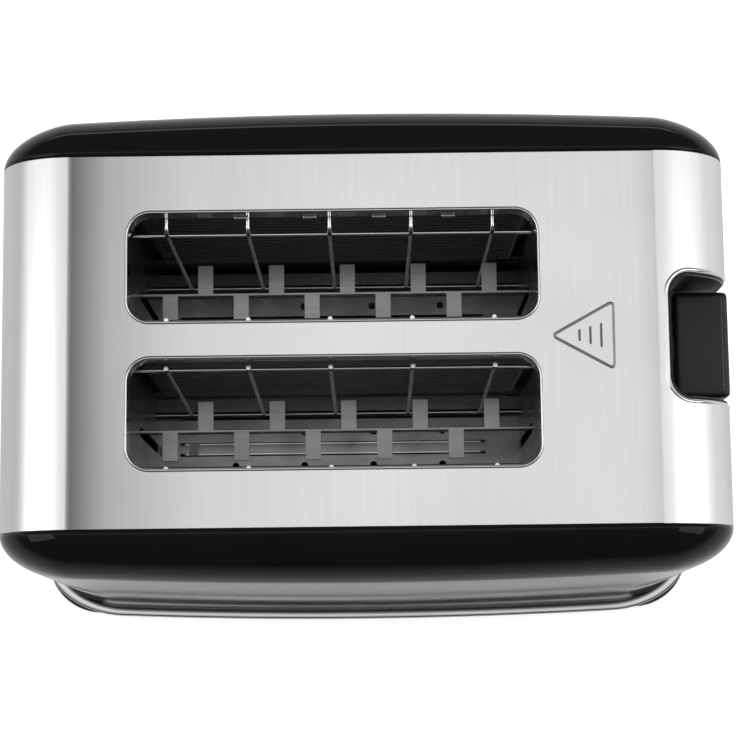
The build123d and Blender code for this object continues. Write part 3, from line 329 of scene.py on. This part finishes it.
def makeFinish(slotName, look):
    # Principled surface that drifts between two colours and two gloss levels
    material = bpy.data.materials.new(slotName)
    material.use_nodes = True
    n, link = material.node_tree.nodes, material.node_tree.links.new
    surface = n["Principled BSDF"]
    grainNode, handled = n.new("ShaderNodeGroup"), n.new("ShaderNodeGroup")
    grainNode.node_tree, handled.node_tree = grain, handling
    grainNode.inputs["Stretch"].default_value = look["stretch"]
    grainNode.inputs["Scale"].default_value = look["scale"]
    grainNode.inputs["Height"].default_value = look["height"]
    handled.inputs["Scale"].default_value = wear["cloudScale"]
    handled.inputs["Cover"].default_value = wear["cloudFrom"]
    drift = n.new("ShaderNodeMix")
    drift.data_type = "RGBA"
    drift.inputs["A"].default_value = (*look["colors"][0], 1)
    drift.inputs["B"].default_value = (*look["colors"][1], 1)
    link(grainNode.outputs["Value"], drift.inputs["Factor"])
    gloss = n.new("ShaderNodeMapRange")
    gloss.inputs["To Min"].default_value = look["rough"][0]
    gloss.inputs["To Max"].default_value = look["rough"][1]
    link(handled.outputs["Mask"], gloss.inputs["Value"])
    link(gloss.outputs["Result"], surface.inputs["Roughness"])
    link(grainNode.outputs["Normal"], surface.inputs["Normal"])
    surface.inputs["Metallic"].default_value = look["metal"]
    surface.inputs["Coat Weight"].default_value = look.get("coat", 0.0)
    surface.inputs["Specular IOR Level"].default_value = look.get("specular", 0.5)
    color = drift.outputs["Result"]
    # The band's colour is multiplied by painted reflection and shade along X
    if look.get("paintedReflection") == "band":
        color = paintedReflectionNodes(n, link, color)
    link(color, surface.inputs["Base Color"])
    return material


def paintedReflectionNodes(n, link, color):
    # Multiplies the colour by painted reflection and shade, looked up from the place along X
    place, split = n.new("ShaderNodeTexCoord"), n.new("ShaderNodeSeparateXYZ")
    link(place.outputs["Object"], split.inputs[0])
    curve = n.new("ShaderNodeFloatCurve")
    points = bandPaintedReflection["ramp"]
    low, high = points[0][0], -points[0][0]
    spread = n.new("ShaderNodeMapRange")
    spread.inputs["From Min"].default_value = low
    spread.inputs["From Max"].default_value = high
    link(split.outputs["X"], spread.inputs["Value"])
    line = curve.mapping.curves[0]
    while len(line.points) < len(points):
        line.points.new(0.5, 0.5)
    for dot, (x, paintedReflection) in zip(line.points, points):
        dot.location = ((x - low) / (high - low), paintedReflection / bandPaintedReflection["ceiling"])
        dot.handle_type = "VECTOR"
    curve.mapping.update()
    link(spread.outputs["Result"], curve.inputs["Value"])
    shade = n.new("ShaderNodeMix")
    shade.data_type = "RGBA"
    shade.blend_type = "MULTIPLY"
    shade.inputs["Factor"].default_value = 1.0
    scaled = n.new("ShaderNodeMath")
    scaled.operation = "MULTIPLY"
    scaled.inputs[1].default_value = bandPaintedReflection["ceiling"]
    link(curve.outputs["Value"], scaled.inputs[0])
    link(color, shade.inputs["A"])
    link(scaled.outputs[0], shade.inputs["B"])
    return shade.outputs["Result"]


finishes = {name: makeFinish(name, look) for name, look in finishTable.items()}
for name, node in nodes.items():
    node.data.materials.clear()
    node.data.materials.append(finishes[slotOf[name]])
print("finishes made:", len(finishes))


# Pieces: how a copy of a CAD solid is welded, and the angle past which an edge is sharp

weld = {"distance": 2e-6, "flatAngle": 0.5, "sharpAngle": 35, "segments": 2}


def mergedCopy(nodeName, body, bevel):
    # A CAD solid's own surface, welded, shaded smooth and with broken edges
    sharp = math.radians(weld["sharpAngle"])
    mesh = nodes[nodeName].data.copy()
    form = bmesh.new()
    form.from_mesh(mesh)
    bmesh.ops.remove_doubles(form, verts=form.verts, dist=weld["distance"])
    bmesh.ops.dissolve_limit(form, angle_limit=math.radians(weld["flatAngle"]), verts=form.verts,
                             edges=form.edges)
    form.to_mesh(mesh)
    form.free()
    if "custom_normal" in mesh.attributes:
        mesh.attributes.remove(mesh.attributes["custom_normal"])
    mesh.shade_smooth()
    mesh.set_sharp_from_angle(angle=sharp)
    piece = bpy.data.objects.new(nodeName + "_skin", mesh)
    bpy.context.scene.collection.objects.link(piece)
    if bevel:
        edge = piece.modifiers.new("edge", "BEVEL")
        edge.width = bevel
        edge.segments = weld["segments"]
        edge.limit_method = "ANGLE"
        edge.angle_limit = sharp
        edge.harden_normals = True
    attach(piece, body)
    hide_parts(nodeName)
    return piece


bodyOf = {name: body for body, group in record["behaviour"]["bodies"].items() for name in group}
# How wide each solid's edges are broken; 0 leaves them sharp
skins = {
    "steel_wrap": 0.0002, "lever_end_band": 0.0002, "front_slot_frame": 0.00035, "rear_slot_frame": 0.00035,
    "lever_bezel": 0.0003, "control_panel": 0.0003, "crumb_tray_handle": 0.0003,
    "crumb_tray": 0.0001, "front_bread_carrier": 0.00015, "rear_bread_carrier": 0.00015,
    "cancel_button": 0.0, "reheat_button": 0.0, "defrost_button": 0.0, "cord_gland": 0.0004,
    "left_end_plate": 0.0, "right_end_plate": 0.0, "lever_arm": 0.0003,
    "front_slot_floor": 0.0, "rear_slot_floor": 0.0, "base_housing": 0.0,
    "front_outer_bread_guard": 0.0005, "front_inner_bread_guard": 0.0,
    "rear_inner_bread_guard": 0.0005, "rear_outer_bread_guard": 0.0,
}
for name, bevel in skins.items():
    mergedCopy(name, bodyOf[name], bevel)
print("skins made:", len(skins))


cover = {
    "gap": 0.00015,  # from the band's edge
    "shoulder": 0.0188, "endReach": 0.0255,  # how far it rolls in from the top and from the ends
    "lean": 0.0037, "crown": 2.1,  # how far the foot stands out, and the face's radius in plan
    "footShare": 0.3, "ease": 2.4,  # how the face's rows close on the foot line
    "wall": 0.0022,
    "along": 241, "over": 18, "face": 16,  # columns, and rows over the shoulder and down the face
}


def sideCover(label, side):
    # Shoulder: the outline drawn in by (1 - cos a) while it goes out by sin a. Face: the last
    # shoulder row shrinks on to a stretch of the foot line, on a crowned plane that leans out downwards
    s = np.linspace(0, outlineLength, cover["along"])
    spot, normal = outline(s)
    a = np.linspace(0, math.pi / 2, cover["over"])
    inset = np.array([cover["endReach"], cover["shoulder"]]) * normal
    rows = spot[None] - inset[None] * (1 - np.cos(a))[:, None, None]
    shrink = 1 - (1 - np.linspace(0, 1, cover["face"])[1:, None, None]) ** cover["ease"]
    foot = np.stack([rows[-1][:, 0] * cover["footShare"], np.full(len(s), band["bottom"])], -1)
    inner = rows[-1][None] * (1 - shrink) + foot[None] * shrink
    flat = np.concatenate([rows, inner])
    high = band["top"] - cover["shoulder"] - band["bottom"]
    outmost = band["halfWidth"] + cover["shoulder"] + cover["lean"]
    face = (outmost - cover["crown"] + np.sqrt(cover["crown"] ** 2 - flat[..., 0] ** 2)
            - cover["lean"] * np.clip((flat[..., 1] - band["bottom"]) / high, 0, 1))
    out = np.concatenate([np.sin(a), np.ones(cover["face"] - 1)])[:, None]
    edge = band["halfWidth"] + cover["gap"]
    y = edge + (face - edge) * out
    points = np.stack([flat[..., 0], side * y, flat[..., 1]], -1)
    faces = gridFaces(points.shape[0], points.shape[1])
    if side > 0:
        faces = faces[:, ::-1]
    piece = putMesh(f"{label}_cover_shell", points, faces, "toaster_body", "gloss_black",
                    [f"{label}_cover"], 60, recalc=False)
    wall = piece.modifiers.new("wall", "SOLIDIFY")
    wall.thickness = cover["wall"]
    wall.offset = -1.0
    return piece


sideCover("front", -1)
sideCover("rear", 1)
print("side covers made")

recess = {
    "left": 0.1058, "half": 0.0234, "corner": 0.009,  # its edge in the band
    "foot": 0.020, "footGap": 0.0002,  # where the rim ends
    "rim": 0.0009, "rimSink": 0.0006, "bead": 0.0004, "beadIn": 0.0016, "beadSink": 0.0012,
    "sideSteps": 90, "bendSteps": 12,
}


def recessRim(name, inset, radius, sink, slotName):
    # A bead carried along the recess's edge on the unrolled band: up one side of the end,
    # round the two inner corners and down the other side
    rise = band["top"] - band["corner"] - band["bottom"]
    start = outlineLength - (recess["foot"] - band["bottom"]) - recess["footGap"]
    inner = rise + band["corner"] * math.pi / 2 + recess["left"] + band["halfLength"] - band["corner"]
    left, half, r = inner + inset, recess["half"] - inset, recess["corner"] - inset
    straight = np.linspace(start, left + r, recess["sideSteps"])
    a = np.linspace(0, math.pi / 2, recess["bendSteps"])
    s = np.concatenate([straight, left + r - r * np.sin(a[1:])])
    y = np.concatenate([np.full_like(straight, half), half - r + r * np.cos(a[1:])])
    across = np.linspace(half - r, 0, recess["bendSteps"])[1:]
    s, y = np.concatenate([s, np.full_like(across, left)]), np.concatenate([y, across])
    s, y = np.concatenate([s, s[::-1][1:]]), np.concatenate([y, -y[::-1][1:]])
    path = onBand(s, y, np.full_like(s, -sink))
    _, normal = outline(s)
    lift = np.stack([normal[:, 0], np.zeros_like(s), normal[:, 1]], -1)
    along = np.gradient(path, axis=0)
    across = np.cross(along, lift)
    across /= np.linalg.norm(across, axis=1)[:, None]
    points, faces = carried(path, across, lift, circleProfile(radius), closed=False)
    return putMesh(name, points, faces, "toaster_body", slotName)


recessRim("recess_rim", 0.0, recess["rim"], recess["rimSink"], "polished_trim")
recessRim("recess_bead", recess["beadIn"], recess["bead"], recess["beadSink"], "plated_sheet")

mark = {
    "apexX": 0.0655, "baseX": 0.0872, "half": 0.0120, "round": 0.0022,  # the triangle in plan
    "grooveRadius": 0.0020, "grooveSink": 0.0019, "ridgeRadius": 0.0010, "ridgeSink": 0.00085,
    "ribX": (0.0752, 0.0790, 0.0828), "ribHalf": (0.0026, 0.0040, 0.0054),
    "ribRows": 15, "ribRound": 10, "ribTip": 0.02,  # the tip's radius squared, as a share
    "bendSteps": 9,
}


def pressedMark():
    # A triangle pressed in the top, its corners rounded by quadratic curves from side to side,
    # with three straight ribs inside it
    corners = np.array([(mark["apexX"], 0.0), (mark["baseX"], -mark["half"]), (mark["baseX"], mark["half"])])
    before, after = np.roll(corners, 1, 0), np.roll(corners, -1, 0)
    toBefore = (before - corners) / np.linalg.norm(before - corners, axis=1)[:, None]
    toAfter = (after - corners) / np.linalg.norm(after - corners, axis=1)[:, None]
    t = np.linspace(0, 1, mark["bendSteps"])[None, :, None]
    enter, leave = corners + toBefore * mark["round"], corners + toAfter * mark["round"]
    bend = (1 - t) ** 2 * enter[:, None] + 2 * t * (1 - t) * corners[:, None] + t**2 * leave[:, None]
    flat = bend.reshape(-1, 2)
    up = np.tile((0.0, 0.0, 1.0), (len(flat), 1))
    for name, slotName in (("groove", "core_iron"), ("ridge", "plated_sheet")):
        profile = circleProfile(mark[f"{name}Radius"], centre=(0, -mark[f"{name}Sink"]))
        points, faces = carried(inSpace(flat, band["top"]), inSpace(pathSides(flat)), up, profile)
        putMesh(f"pressed_{name}", points, faces, "toaster_body", slotName)
    rows, around = mark["ribRows"], mark["ribRound"]
    for index, (x, half) in enumerate(zip(mark["ribX"], mark["ribHalf"])):
        # A bar whose radius falls off at its ends as the root of 1 - a^8
        a = np.linspace(-1, 1, rows)
        size = np.sqrt(np.clip(1 - a**8, mark["ribTip"], 1))[:, None, None]
        ring = circleProfile(mark["ridgeRadius"], around)[None] * size + (0, -mark["ridgeSink"])
        points = np.stack([x + ring[..., 0], np.repeat((half * a)[:, None], around, 1),
                           band["top"] + ring[..., 1]], -1)
        faces = gridFaces(rows, around, False, True).tolist()
        faces += [list(range(around)), list(range((rows - 1) * around, rows * around))]
        putMesh(f"pressed_rib_{index + 1}", points, faces, "toaster_body", "core_iron")


pressedMark()
print("rims and pressed mark made")

trim = {
    "cornerX": 0.033, "cornerY": 0.024, "bulge": 0.0042,
    # out from the widest line and up from the bottom
    "profile": ((-0.0072, 0.0), (-0.0008, 0.0), (-0.0001, 0.0006), (0.0, 0.0016), (0.0, 0.0036),
                (-0.0003, 0.0044), (-0.0008, 0.0048), (-0.0033, 0.0050), (-0.0038, 0.0048), (-0.0044, 0.0038),
                (-0.0051, 0.0036), (-0.0054, 0.0050), (-0.0056, 0.0087), (-0.0072, 0.0087)),
}


def baseTrim():
    # A stepped moulding carried round the plan: two straight ends, two slightly bowed sides
    low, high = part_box("base_trim")
    side = high.y - trim["bulge"]
    flat = keepApart(roundedPath(high.x, side, trim["cornerX"], trim["cornerY"], trim["bulge"]))
    up = np.tile((0.0, 0.0, 1.0), (len(flat), 1))
    points, faces = carried(inSpace(flat, low.z), inSpace(pathSides(flat)), up, np.array(trim["profile"]))
    return putMesh("trim_moulding", points, faces, "toaster_body", "polished_trim", ["base_trim"], 30)


baseTrim()


def rounded(name, low, high, radius, body, slotName, replaced=(), power=3.2, count=25):
    # Box with every edge rounded: each point of a cube grid is pushed to the radius from an inner box
    g = np.linspace(-1, 1, count)
    u, v = np.meshgrid(g, g, indexing="ij")
    one = np.ones_like(u)
    sheets = ((u, v, one), (v, u, -one), (one, u, v), (-one, v, u), (v, one, u), (u, -one, v))
    cube = np.stack([np.stack(sheet, -1) for sheet in sheets])
    half = (np.array(high) - np.array(low)) / 2
    middle = (np.array(high) + np.array(low)) / 2
    room = half - radius
    eased = np.sign(cube) * (1 - (1 - np.abs(cube)) ** power)
    core = eased * half
    held = np.clip(core, -room, room)
    away = core - held
    size = np.linalg.norm(away, axis=-1, keepdims=True)
    points = held + away / np.maximum(size, 1e-9) * radius
    faces = np.concatenate([gridFaces(count, count) + i * count * count for i in range(6)])
    return putMesh(name, points + middle, faces, body, slotName, replaced, 50)


lever = {
    "radius": 0.0018,
    # the raised line across its top, from the outer face and from the two sides
    "lineIn": 0.0022, "lineWidth": 0.0006, "lineEnds": 0.002, "lineSink": 0.0004, "lineRise": 0.0001,
    "lineRadius": 0.00024,
}
low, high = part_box("lever_knob")
rounded("lever_knob_moulding", low, high, lever["radius"], "carriage", "lever_black", ["lever_knob"])
lineX = high.x - lever["lineIn"]
rounded("lever_knob_line",
        (lineX - lever["lineWidth"], low.y + lever["lineEnds"], high.z - lever["lineSink"]),
        (lineX, high.y - lever["lineEnds"], high.z + lever["lineRise"]),
        lever["lineRadius"], "carriage", "panel_black")
print("trim and lever made")

foot = {
    "profile": ((0.0, 0.0), (0.0074, 0.0), (0.0082, 0.0004), (0.0086, 0.0012), (0.0086, 0.0032),
                (0.0090, 0.0036), (0.0090, 0.0050), (0.0, 0.0050)),
    "x": 0.108, "y": 0.062, "steps": 36,
}


def revolve(profile, centre, axis, steps, flute=0.0, flutes=0):
    # Profile of (radius, distance along the axis) turned round the axis; flutes draw the radius in
    a = np.linspace(0, 2 * math.pi, steps, endpoint=False)
    p = np.array(profile)
    depth = 1 - flute * (0.5 - 0.5 * np.cos(flutes * a))[:, None] * (p[None, :, 0] > p[:, 0].max() * 0.9)
    radius, along = p[None, :, 0] * depth, np.repeat(p[None, :, 1], steps, 0)
    one, two = radius * np.cos(a)[:, None], radius * np.sin(a)[:, None]
    order = {"z": (one, two, along), "x": (along, one, two), "y": (two, along, one)}[axis]
    return np.stack(order, -1) + np.array(centre), gridFaces(steps, len(p), True, False)


feet = [revolve(foot["profile"], (x * foot["x"], y * foot["y"], 0), "z", foot["steps"])
        for x in (-1, 1) for y in (-1, 1)]
shift = foot["steps"] * len(foot["profile"])
putMesh("feet_moulded", np.concatenate([points.reshape(-1, 3) for points, _ in feet]),
        np.concatenate([faces + i * shift for i, (_, faces) in enumerate(feet)]), "toaster_body",
        "foot_rubber", ["rubber_feet"])

low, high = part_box("browning_knob")
dial = {
    "profile": ((0.0, 0.0), (0.0145, 0.0), (0.0155, 0.0006), (0.0155, 0.0016), (0.0150, 0.0022),
                (0.0148, 0.0094), (0.0142, 0.0103), (0.0130, 0.0106), (0.0122, 0.0104),
                (0.0118, 0.0101), (0.0, 0.0101)),
    "z": 0.040, "steps": 240, "flutes": 30, "fluteDepth": 0.04,
    "numbers": 6, "firstAngle": -125, "stepAngle": 50,  # degrees from straight up
    "numberRadius": 0.0190, "numberSize": 0.0034, "numberDepth": 0.00005, "numberLift": 0.00004,
}
points, faces = revolve(dial["profile"], (low.x, 0, dial["z"]), "x", dial["steps"], dial["fluteDepth"],
                        dial["flutes"])
putMesh("browning_knob_grip", points, faces, "browning_dial", "lever_black", ["browning_knob"])

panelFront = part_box("control_panel")[1].x
for index in range(dial["numbers"]):
    # Plain numbers round the dial
    angle = math.radians(dial["firstAngle"] + dial["stepAngle"] * index)
    words = bpy.data.curves.new(f"number_{index + 1}", "FONT")
    words.body = str(index + 1)
    words.size = dial["numberSize"]
    words.align_x, words.align_y = "CENTER", "CENTER"
    words.extrude = dial["numberDepth"]
    text = bpy.data.objects.new("text", words)
    bpy.context.scene.collection.objects.link(text)
    mesh = bpy.data.meshes.new_from_object(text)
    bpy.data.objects.remove(text)
    y, z = math.sin(angle) * dial["numberRadius"], dial["z"] + math.cos(angle) * dial["numberRadius"]
    mesh.transform(Matrix.Translation((panelFront + dial["numberLift"], y, z))
                   @ Matrix(((0, 0, 1, 0), (1, 0, 0, 0), (0, 1, 0, 0), (0, 0, 0, 1))))
    number = bpy.data.objects.new(f"dial_number_{index + 1}", mesh)
    mesh.materials.clear()
    mesh.materials.append(finishes["white_mark"])
    bpy.context.scene.collection.objects.link(number)
    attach(number, "toaster_body")
print("dial and feet made")

ribbon = {
    "turns": 20, "first": 0.0820, "top": 0.17755,  # the heights it climbs between
    "notch": 0.0046, "offset": 0.0013,  # from the card's ends and from its middle
    "half": (0.00012, 0.0008), "sideSteps": 12, "bendSteps": 9,
}


def heaterRibbon(label):
    # Flat ribbon: level along the front of the card, half a turn round its edge, back along the rear.
    # One turn is a long flat loop in plan, and the height climbs evenly with the distance travelled
    low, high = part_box(f"{label}_heater_card")
    left, right, y = low.x + ribbon["notch"], high.x - ribbon["notch"], (low.y + high.y) / 2
    r, steps = ribbon["offset"], ribbon["sideSteps"]
    a = np.linspace(-math.pi / 2, math.pi / 2, ribbon["bendSteps"])
    lap = np.concatenate([
        np.stack([np.linspace(left, right, steps, endpoint=False), np.full(steps, -r)], 1),
        np.stack([right + r * np.cos(a), r * np.sin(a)], 1),
        np.stack([np.linspace(right, left, steps, endpoint=False)[1:], np.full(steps - 1, r)], 1),
        np.stack([left - r * np.cos(a[:-1]), -r * np.sin(a[:-1])], 1),
    ])
    flat = np.tile(lap, (ribbon["turns"], 1))[: -len(lap) // 2]
    travel = np.arange(len(flat)) / (len(flat) - 1)
    z = ribbon["first"] + travel * (ribbon["top"] - ribbon["first"])
    path = np.stack([flat[:, 0], flat[:, 1] + y, z], -1)
    thick, tall = ribbon["half"]
    profile = np.array(((-thick, -tall), (thick, -tall), (thick, tall), (-thick, tall)))
    up = np.tile((0.0, 0.0, 1.0), (len(path), 1))
    points, faces = carried(path, inSpace(pathSides(flat, closed=False)), up, profile, closed=False)
    return putMesh(f"{label}_flat_ribbon", points, faces, "toaster_body", "heater_alloy",
                   [f"{label}_heater_ribbon"])


for label in ("front_outer", "front_inner", "rear_inner", "rear_outer"):
    heaterRibbon(label)

bladeEdge = {"half": 0.0006, "thick": 0.0003, "drop": 0.0002, "inset": 0.0008}


def carrierEdge(label, side):
    # A bright sheared edge: a flat strip along the top of the carrier's blade, a little under its lugs
    low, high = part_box(f"{label}_bread_carrier")
    ends = np.array([low.x + bladeEdge["inset"], high.x - bladeEdge["inset"]])
    flat = np.stack([ends, np.full(2, side * slot["offsetY"])], -1)
    path = inSpace(flat, high.z - bladeEdge["drop"])
    up = np.tile((0.0, 0.0, 1.0), (2, 1))
    half, thick = bladeEdge["half"], bladeEdge["thick"]
    profile = np.array([(-half, -thick), (half, -thick), (half, -thick / 3), (half * 0.8, 0),
                        (-half * 0.8, 0), (-half, -thick / 3)])
    points, faces = carried(path, np.tile((0.0, 1.0, 0.0), (2, 1)), up, profile, closed=False)
    return putMesh(f"{label}_carrier_edge", points, faces, "carriage", "bright_wire")


carrierEdge("front", -1)
carrierEdge("rear", 1)

floorRib = {
    "half": 0.0024, "span": (-0.0735, 0.0467), "sink": 0.00002, "thick": 0.0002, "radius": 0.00008,
    "blockSpan": (-0.0717, -0.0680), "blockShare": 1.05, "blockSink": 0.001, "blockRise": 0.0004,
    "blockRadius": 0.0002,
}


def ribStrip():
    # The polished crest of the front slot floor's middle rib, and a white block near its left end that is a
    # painted highlight
    (left, right), (blockLeft, blockRight) = floorRib["span"], floorRib["blockSpan"]
    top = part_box("front_slot_floor")[1].z - floorRib["sink"]
    y, half = -slot["offsetY"], floorRib["half"]
    rounded("front_rib_strip", (left, y - half, top - floorRib["thick"]), (right, y + half, top),
            floorRib["radius"], "toaster_body", "bright_sheet")
    half *= floorRib["blockShare"]
    # The white block is a painted highlight, not a part
    rounded("rib_end_painted_highlight", (blockLeft, y - half, top - floorRib["blockSink"]),
            (blockRight, y + half, top + floorRib["blockRise"]), floorRib["blockRadius"],
            "toaster_body", "white_mark")


ribStrip()

spring = {"wire": 0.0005, "coils": 16, "steps": 28, "endTurns": 1.5, "endClimb": (0.018, 0.982)}


def returnSpring():
    # Helix round the guide rod: even pitch between closed end turns
    low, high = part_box("return_spring")
    radius = (high.x - low.x) / 2 - spring["wire"]
    turns = spring["coils"]
    t = np.linspace(0, turns, turns * spring["steps"])
    ends = spring["endTurns"]
    climb = np.interp(t, [0, ends, turns - ends, turns], [0, *spring["endClimb"], 1])
    z = low.z + spring["wire"] + climb * (high.z - low.z - 2 * spring["wire"])
    a = 2 * math.pi * t
    radial = np.stack([np.cos(a), np.sin(a), np.zeros_like(a)], -1)
    middle = np.array([(low.x + high.x) / 2, 0.0, 0.0])
    path = middle + radial * radius + np.stack([np.zeros_like(z), np.zeros_like(z), z], -1)
    up = np.tile((0.0, 0.0, 1.0), (len(path), 1))
    points, faces = carried(path, radial, up, circleProfile(spring["wire"], 8), closed=False)
    piece = putMesh("return_spring_coil", points, faces, "toaster_body", "bright_wire", ["return_spring"])
    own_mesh(piece)
    return piece


returnSpring()

coil = {"inset": 0.0003, "radius": 0.00045, "round": 6, "turns": 30, "steps": 40, "power": 6}


def magnetCoil():
    # Wire wound close in one layer. Its plan is a circle whose radius is divided by the sixth root of
    # |cos a|^6 + |sin a|^6, which squares it
    low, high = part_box("magnet_coil")
    middle = (low + high) / 2
    t = np.linspace(0, coil["turns"], coil["turns"] * coil["steps"])
    a = 2 * math.pi * t
    power = coil["power"]
    squared = (np.abs(np.cos(a)) ** power + np.abs(np.sin(a)) ** power) ** (-1 / power)
    x = middle.x + ((high.x - low.x) / 2 - coil["inset"]) * squared * np.cos(a)
    y = middle.y + ((high.y - low.y) / 2 - coil["inset"]) * squared * np.sin(a)
    z = np.linspace(low.z + coil["inset"], high.z - coil["inset"], len(t))
    path = np.stack([x, y, z], -1)
    sides = pathSides(path[:, :2], closed=False)
    up = np.tile((0.0, 0.0, 1.0), (len(path), 1))
    profile = circleProfile(coil["radius"], coil["round"])
    points, faces = carried(path, inSpace(sides), up, profile, closed=False)
    return putMesh("magnet_winding", points, faces, "toaster_body", "copper_coil")


magnetCoil()
print("ribbons, spring and winding made")

# Floor, world and lamps
studio = {
    "floorSize": 6.0, "floorColor": (0.82, 0.82, 0.82), "floorLift": 0.56, "floorWhite": (0.45, 1.3),
    "ambient": 0.5,
    # what reflections see: the ceiling's dim and bright parts, the horizon and the strip at the rear
    "ceiling": 0.1, "overhead": 1.17, "horizon": 0.3, "rearStrip": 2.5,
    # where they fade into each other, as parts of a ray's unit direction
    "brightMiddle": 0.14, "brightFade": (0.04, 0.42), "horizonFade": (0.02, 0.07), "rearFade": (0.8, 0.95),
    "lamps": (
        # place, size along x, size along y, watts, seen in reflections
        ((0.0, 0.92, 1.35), 1.6, 0.3, 15.0, False),
        ((-1.3, -0.25, 1.2), 0.9, 1.2, 7.0, True),
        ((1.3, -0.25, 1.2), 0.9, 1.2, 7.0, True),
    ),
    "aim": (0.0, 0.0, 0.12),
}


def fadeNode(n, link, value, span, results):
    # Smooth change from the first result to the second over a span of the value
    fade = n.new("ShaderNodeMapRange")
    fade.interpolation_type = "SMOOTHSTEP"
    fade.inputs["From Min"].default_value, fade.inputs["From Max"].default_value = span
    fade.inputs["To Min"].default_value, fade.inputs["To Max"].default_value = results
    link(value, fade.inputs["Value"])
    return fade.outputs["Result"]


def shownRays(n, link):
    # 1 for rays that see the background directly, in a mirror or through glass
    paths = n.new("ShaderNodeLightPath")
    first, both = n.new("ShaderNodeMath"), n.new("ShaderNodeMath")
    first.operation = both.operation = "ADD"
    both.use_clamp = True
    link(paths.outputs["Is Camera Ray"], first.inputs[0])
    link(paths.outputs["Is Glossy Ray"], first.inputs[1])
    link(first.outputs[0], both.inputs[0])
    link(paths.outputs["Is Transmission Ray"], both.inputs[1])
    return paths, both.outputs[0]


def makeFloor():
    # A pale square. Seen directly it is lifted towards white, and the more the further out it is
    size = studio["floorSize"]
    corners = [(-size, -size, 0), (size, -size, 0), (size, size, 0), (-size, size, 0)]
    mesh = bpy.data.meshes.new("floor")
    mesh.from_pydata(corners, [], [(0, 1, 2, 3)])
    floor = bpy.data.objects.new("floor", mesh)
    bpy.context.scene.collection.objects.link(floor)
    material = bpy.data.materials.new("floor")
    material.use_nodes = True
    n, link = material.node_tree.nodes, material.node_tree.links.new
    surface = n["Principled BSDF"]
    surface.inputs["Base Color"].default_value = (*studio["floorColor"], 1)
    surface.inputs["Roughness"].default_value = 0.9
    surface.inputs["Specular IOR Level"].default_value = 0.1
    paths = n.new("ShaderNodeLightPath")
    place, reach = n.new("ShaderNodeTexCoord"), n.new("ShaderNodeVectorMath")
    reach.operation = "LENGTH"
    link(place.outputs["Object"], reach.inputs[0])
    far = fadeNode(n, link, reach.outputs["Value"], studio["floorWhite"], (studio["floorLift"], 1.0))
    lift = n.new("ShaderNodeMath")
    lift.operation = "MULTIPLY"
    link(paths.outputs["Is Camera Ray"], lift.inputs[0])
    link(far, lift.inputs[1])
    surface.inputs["Emission Color"].default_value = (1, 1, 1, 1)
    link(lift.outputs[0], surface.inputs["Emission Strength"])
    mesh.materials.append(material)


def mathNode(n, link, operation, first, second):
    # Two numbers or sockets put through one operation
    node = n.new("ShaderNodeMath")
    node.operation = operation
    for socket, value in zip(node.inputs, (first, second)):
        if isinstance(value, (int, float)):
            socket.default_value = value
        else:
            link(value, socket)
    return node.outputs[0]


def makeWorld():
    # Seen directly it is white. Reflections see a ceiling that is bright overhead and to the left
    # and right and dim to the front and rear, a grey horizon, and a bright low strip at the rear
    world = bpy.data.worlds.new("studio")
    bpy.context.scene.world = world
    world.use_nodes = True
    n, link = world.node_tree.nodes, world.node_tree.links.new
    back = n["Background"]
    paths, shown = shownRays(n, link)
    place, split = n.new("ShaderNodeTexCoord"), n.new("ShaderNodeSeparateXYZ")
    link(place.outputs["Generated"], split.inputs[0])
    away = mathNode(n, link, "ABSOLUTE", mathNode(n, link, "SUBTRACT", split.outputs["Y"],
                                               studio["brightMiddle"]), 0.0)
    sector = fadeNode(n, link, away, studio["brightFade"], (studio["overhead"], studio["ceiling"]))
    low = fadeNode(n, link, split.outputs["Z"], studio["horizonFade"], (1.0, 0.0))
    behind = fadeNode(n, link, split.outputs["Y"], studio["rearFade"], (0.0, studio["rearStrip"]))
    edgeGlow = mathNode(n, link, "MULTIPLY", low, mathNode(n, link, "ADD", behind, studio["horizon"]))
    mirrored = mathNode(n, link, "MAXIMUM", sector, edgeGlow)
    direct = n.new("ShaderNodeMix")
    link(paths.outputs["Is Camera Ray"], direct.inputs["Factor"])
    link(mirrored, direct.inputs["A"])
    direct.inputs["B"].default_value = 1.0
    chosen = n.new("ShaderNodeMix")
    chosen.inputs["A"].default_value = studio["ambient"]
    link(shown, chosen.inputs["Factor"])
    link(direct.outputs["Result"], chosen.inputs["B"])
    back.inputs["Color"].default_value = (1, 1, 1, 1)
    link(chosen.outputs["Result"], back.inputs["Strength"])


def makeLamps():
    # Soft rectangular lamps, each turned to the aim
    for index, (place, sizeX, sizeY, watts, mirrored) in enumerate(studio["lamps"]):
        data = bpy.data.lights.new(f"lamp_{index}", "AREA")
        data.shape = "RECTANGLE"
        data.size, data.size_y, data.energy = sizeX, sizeY, watts
        lamp = bpy.data.objects.new(f"lamp_{index}", data)
        bpy.context.scene.collection.objects.link(lamp)
        lamp.location = place
        lamp.visible_glossy = mirrored
        lamp.rotation_euler = (Vector(studio["aim"]) - Vector(place)).to_track_quat("-Z", "Y").to_euler()


makeFloor()
makeWorld()
makeLamps()
print("studio made")
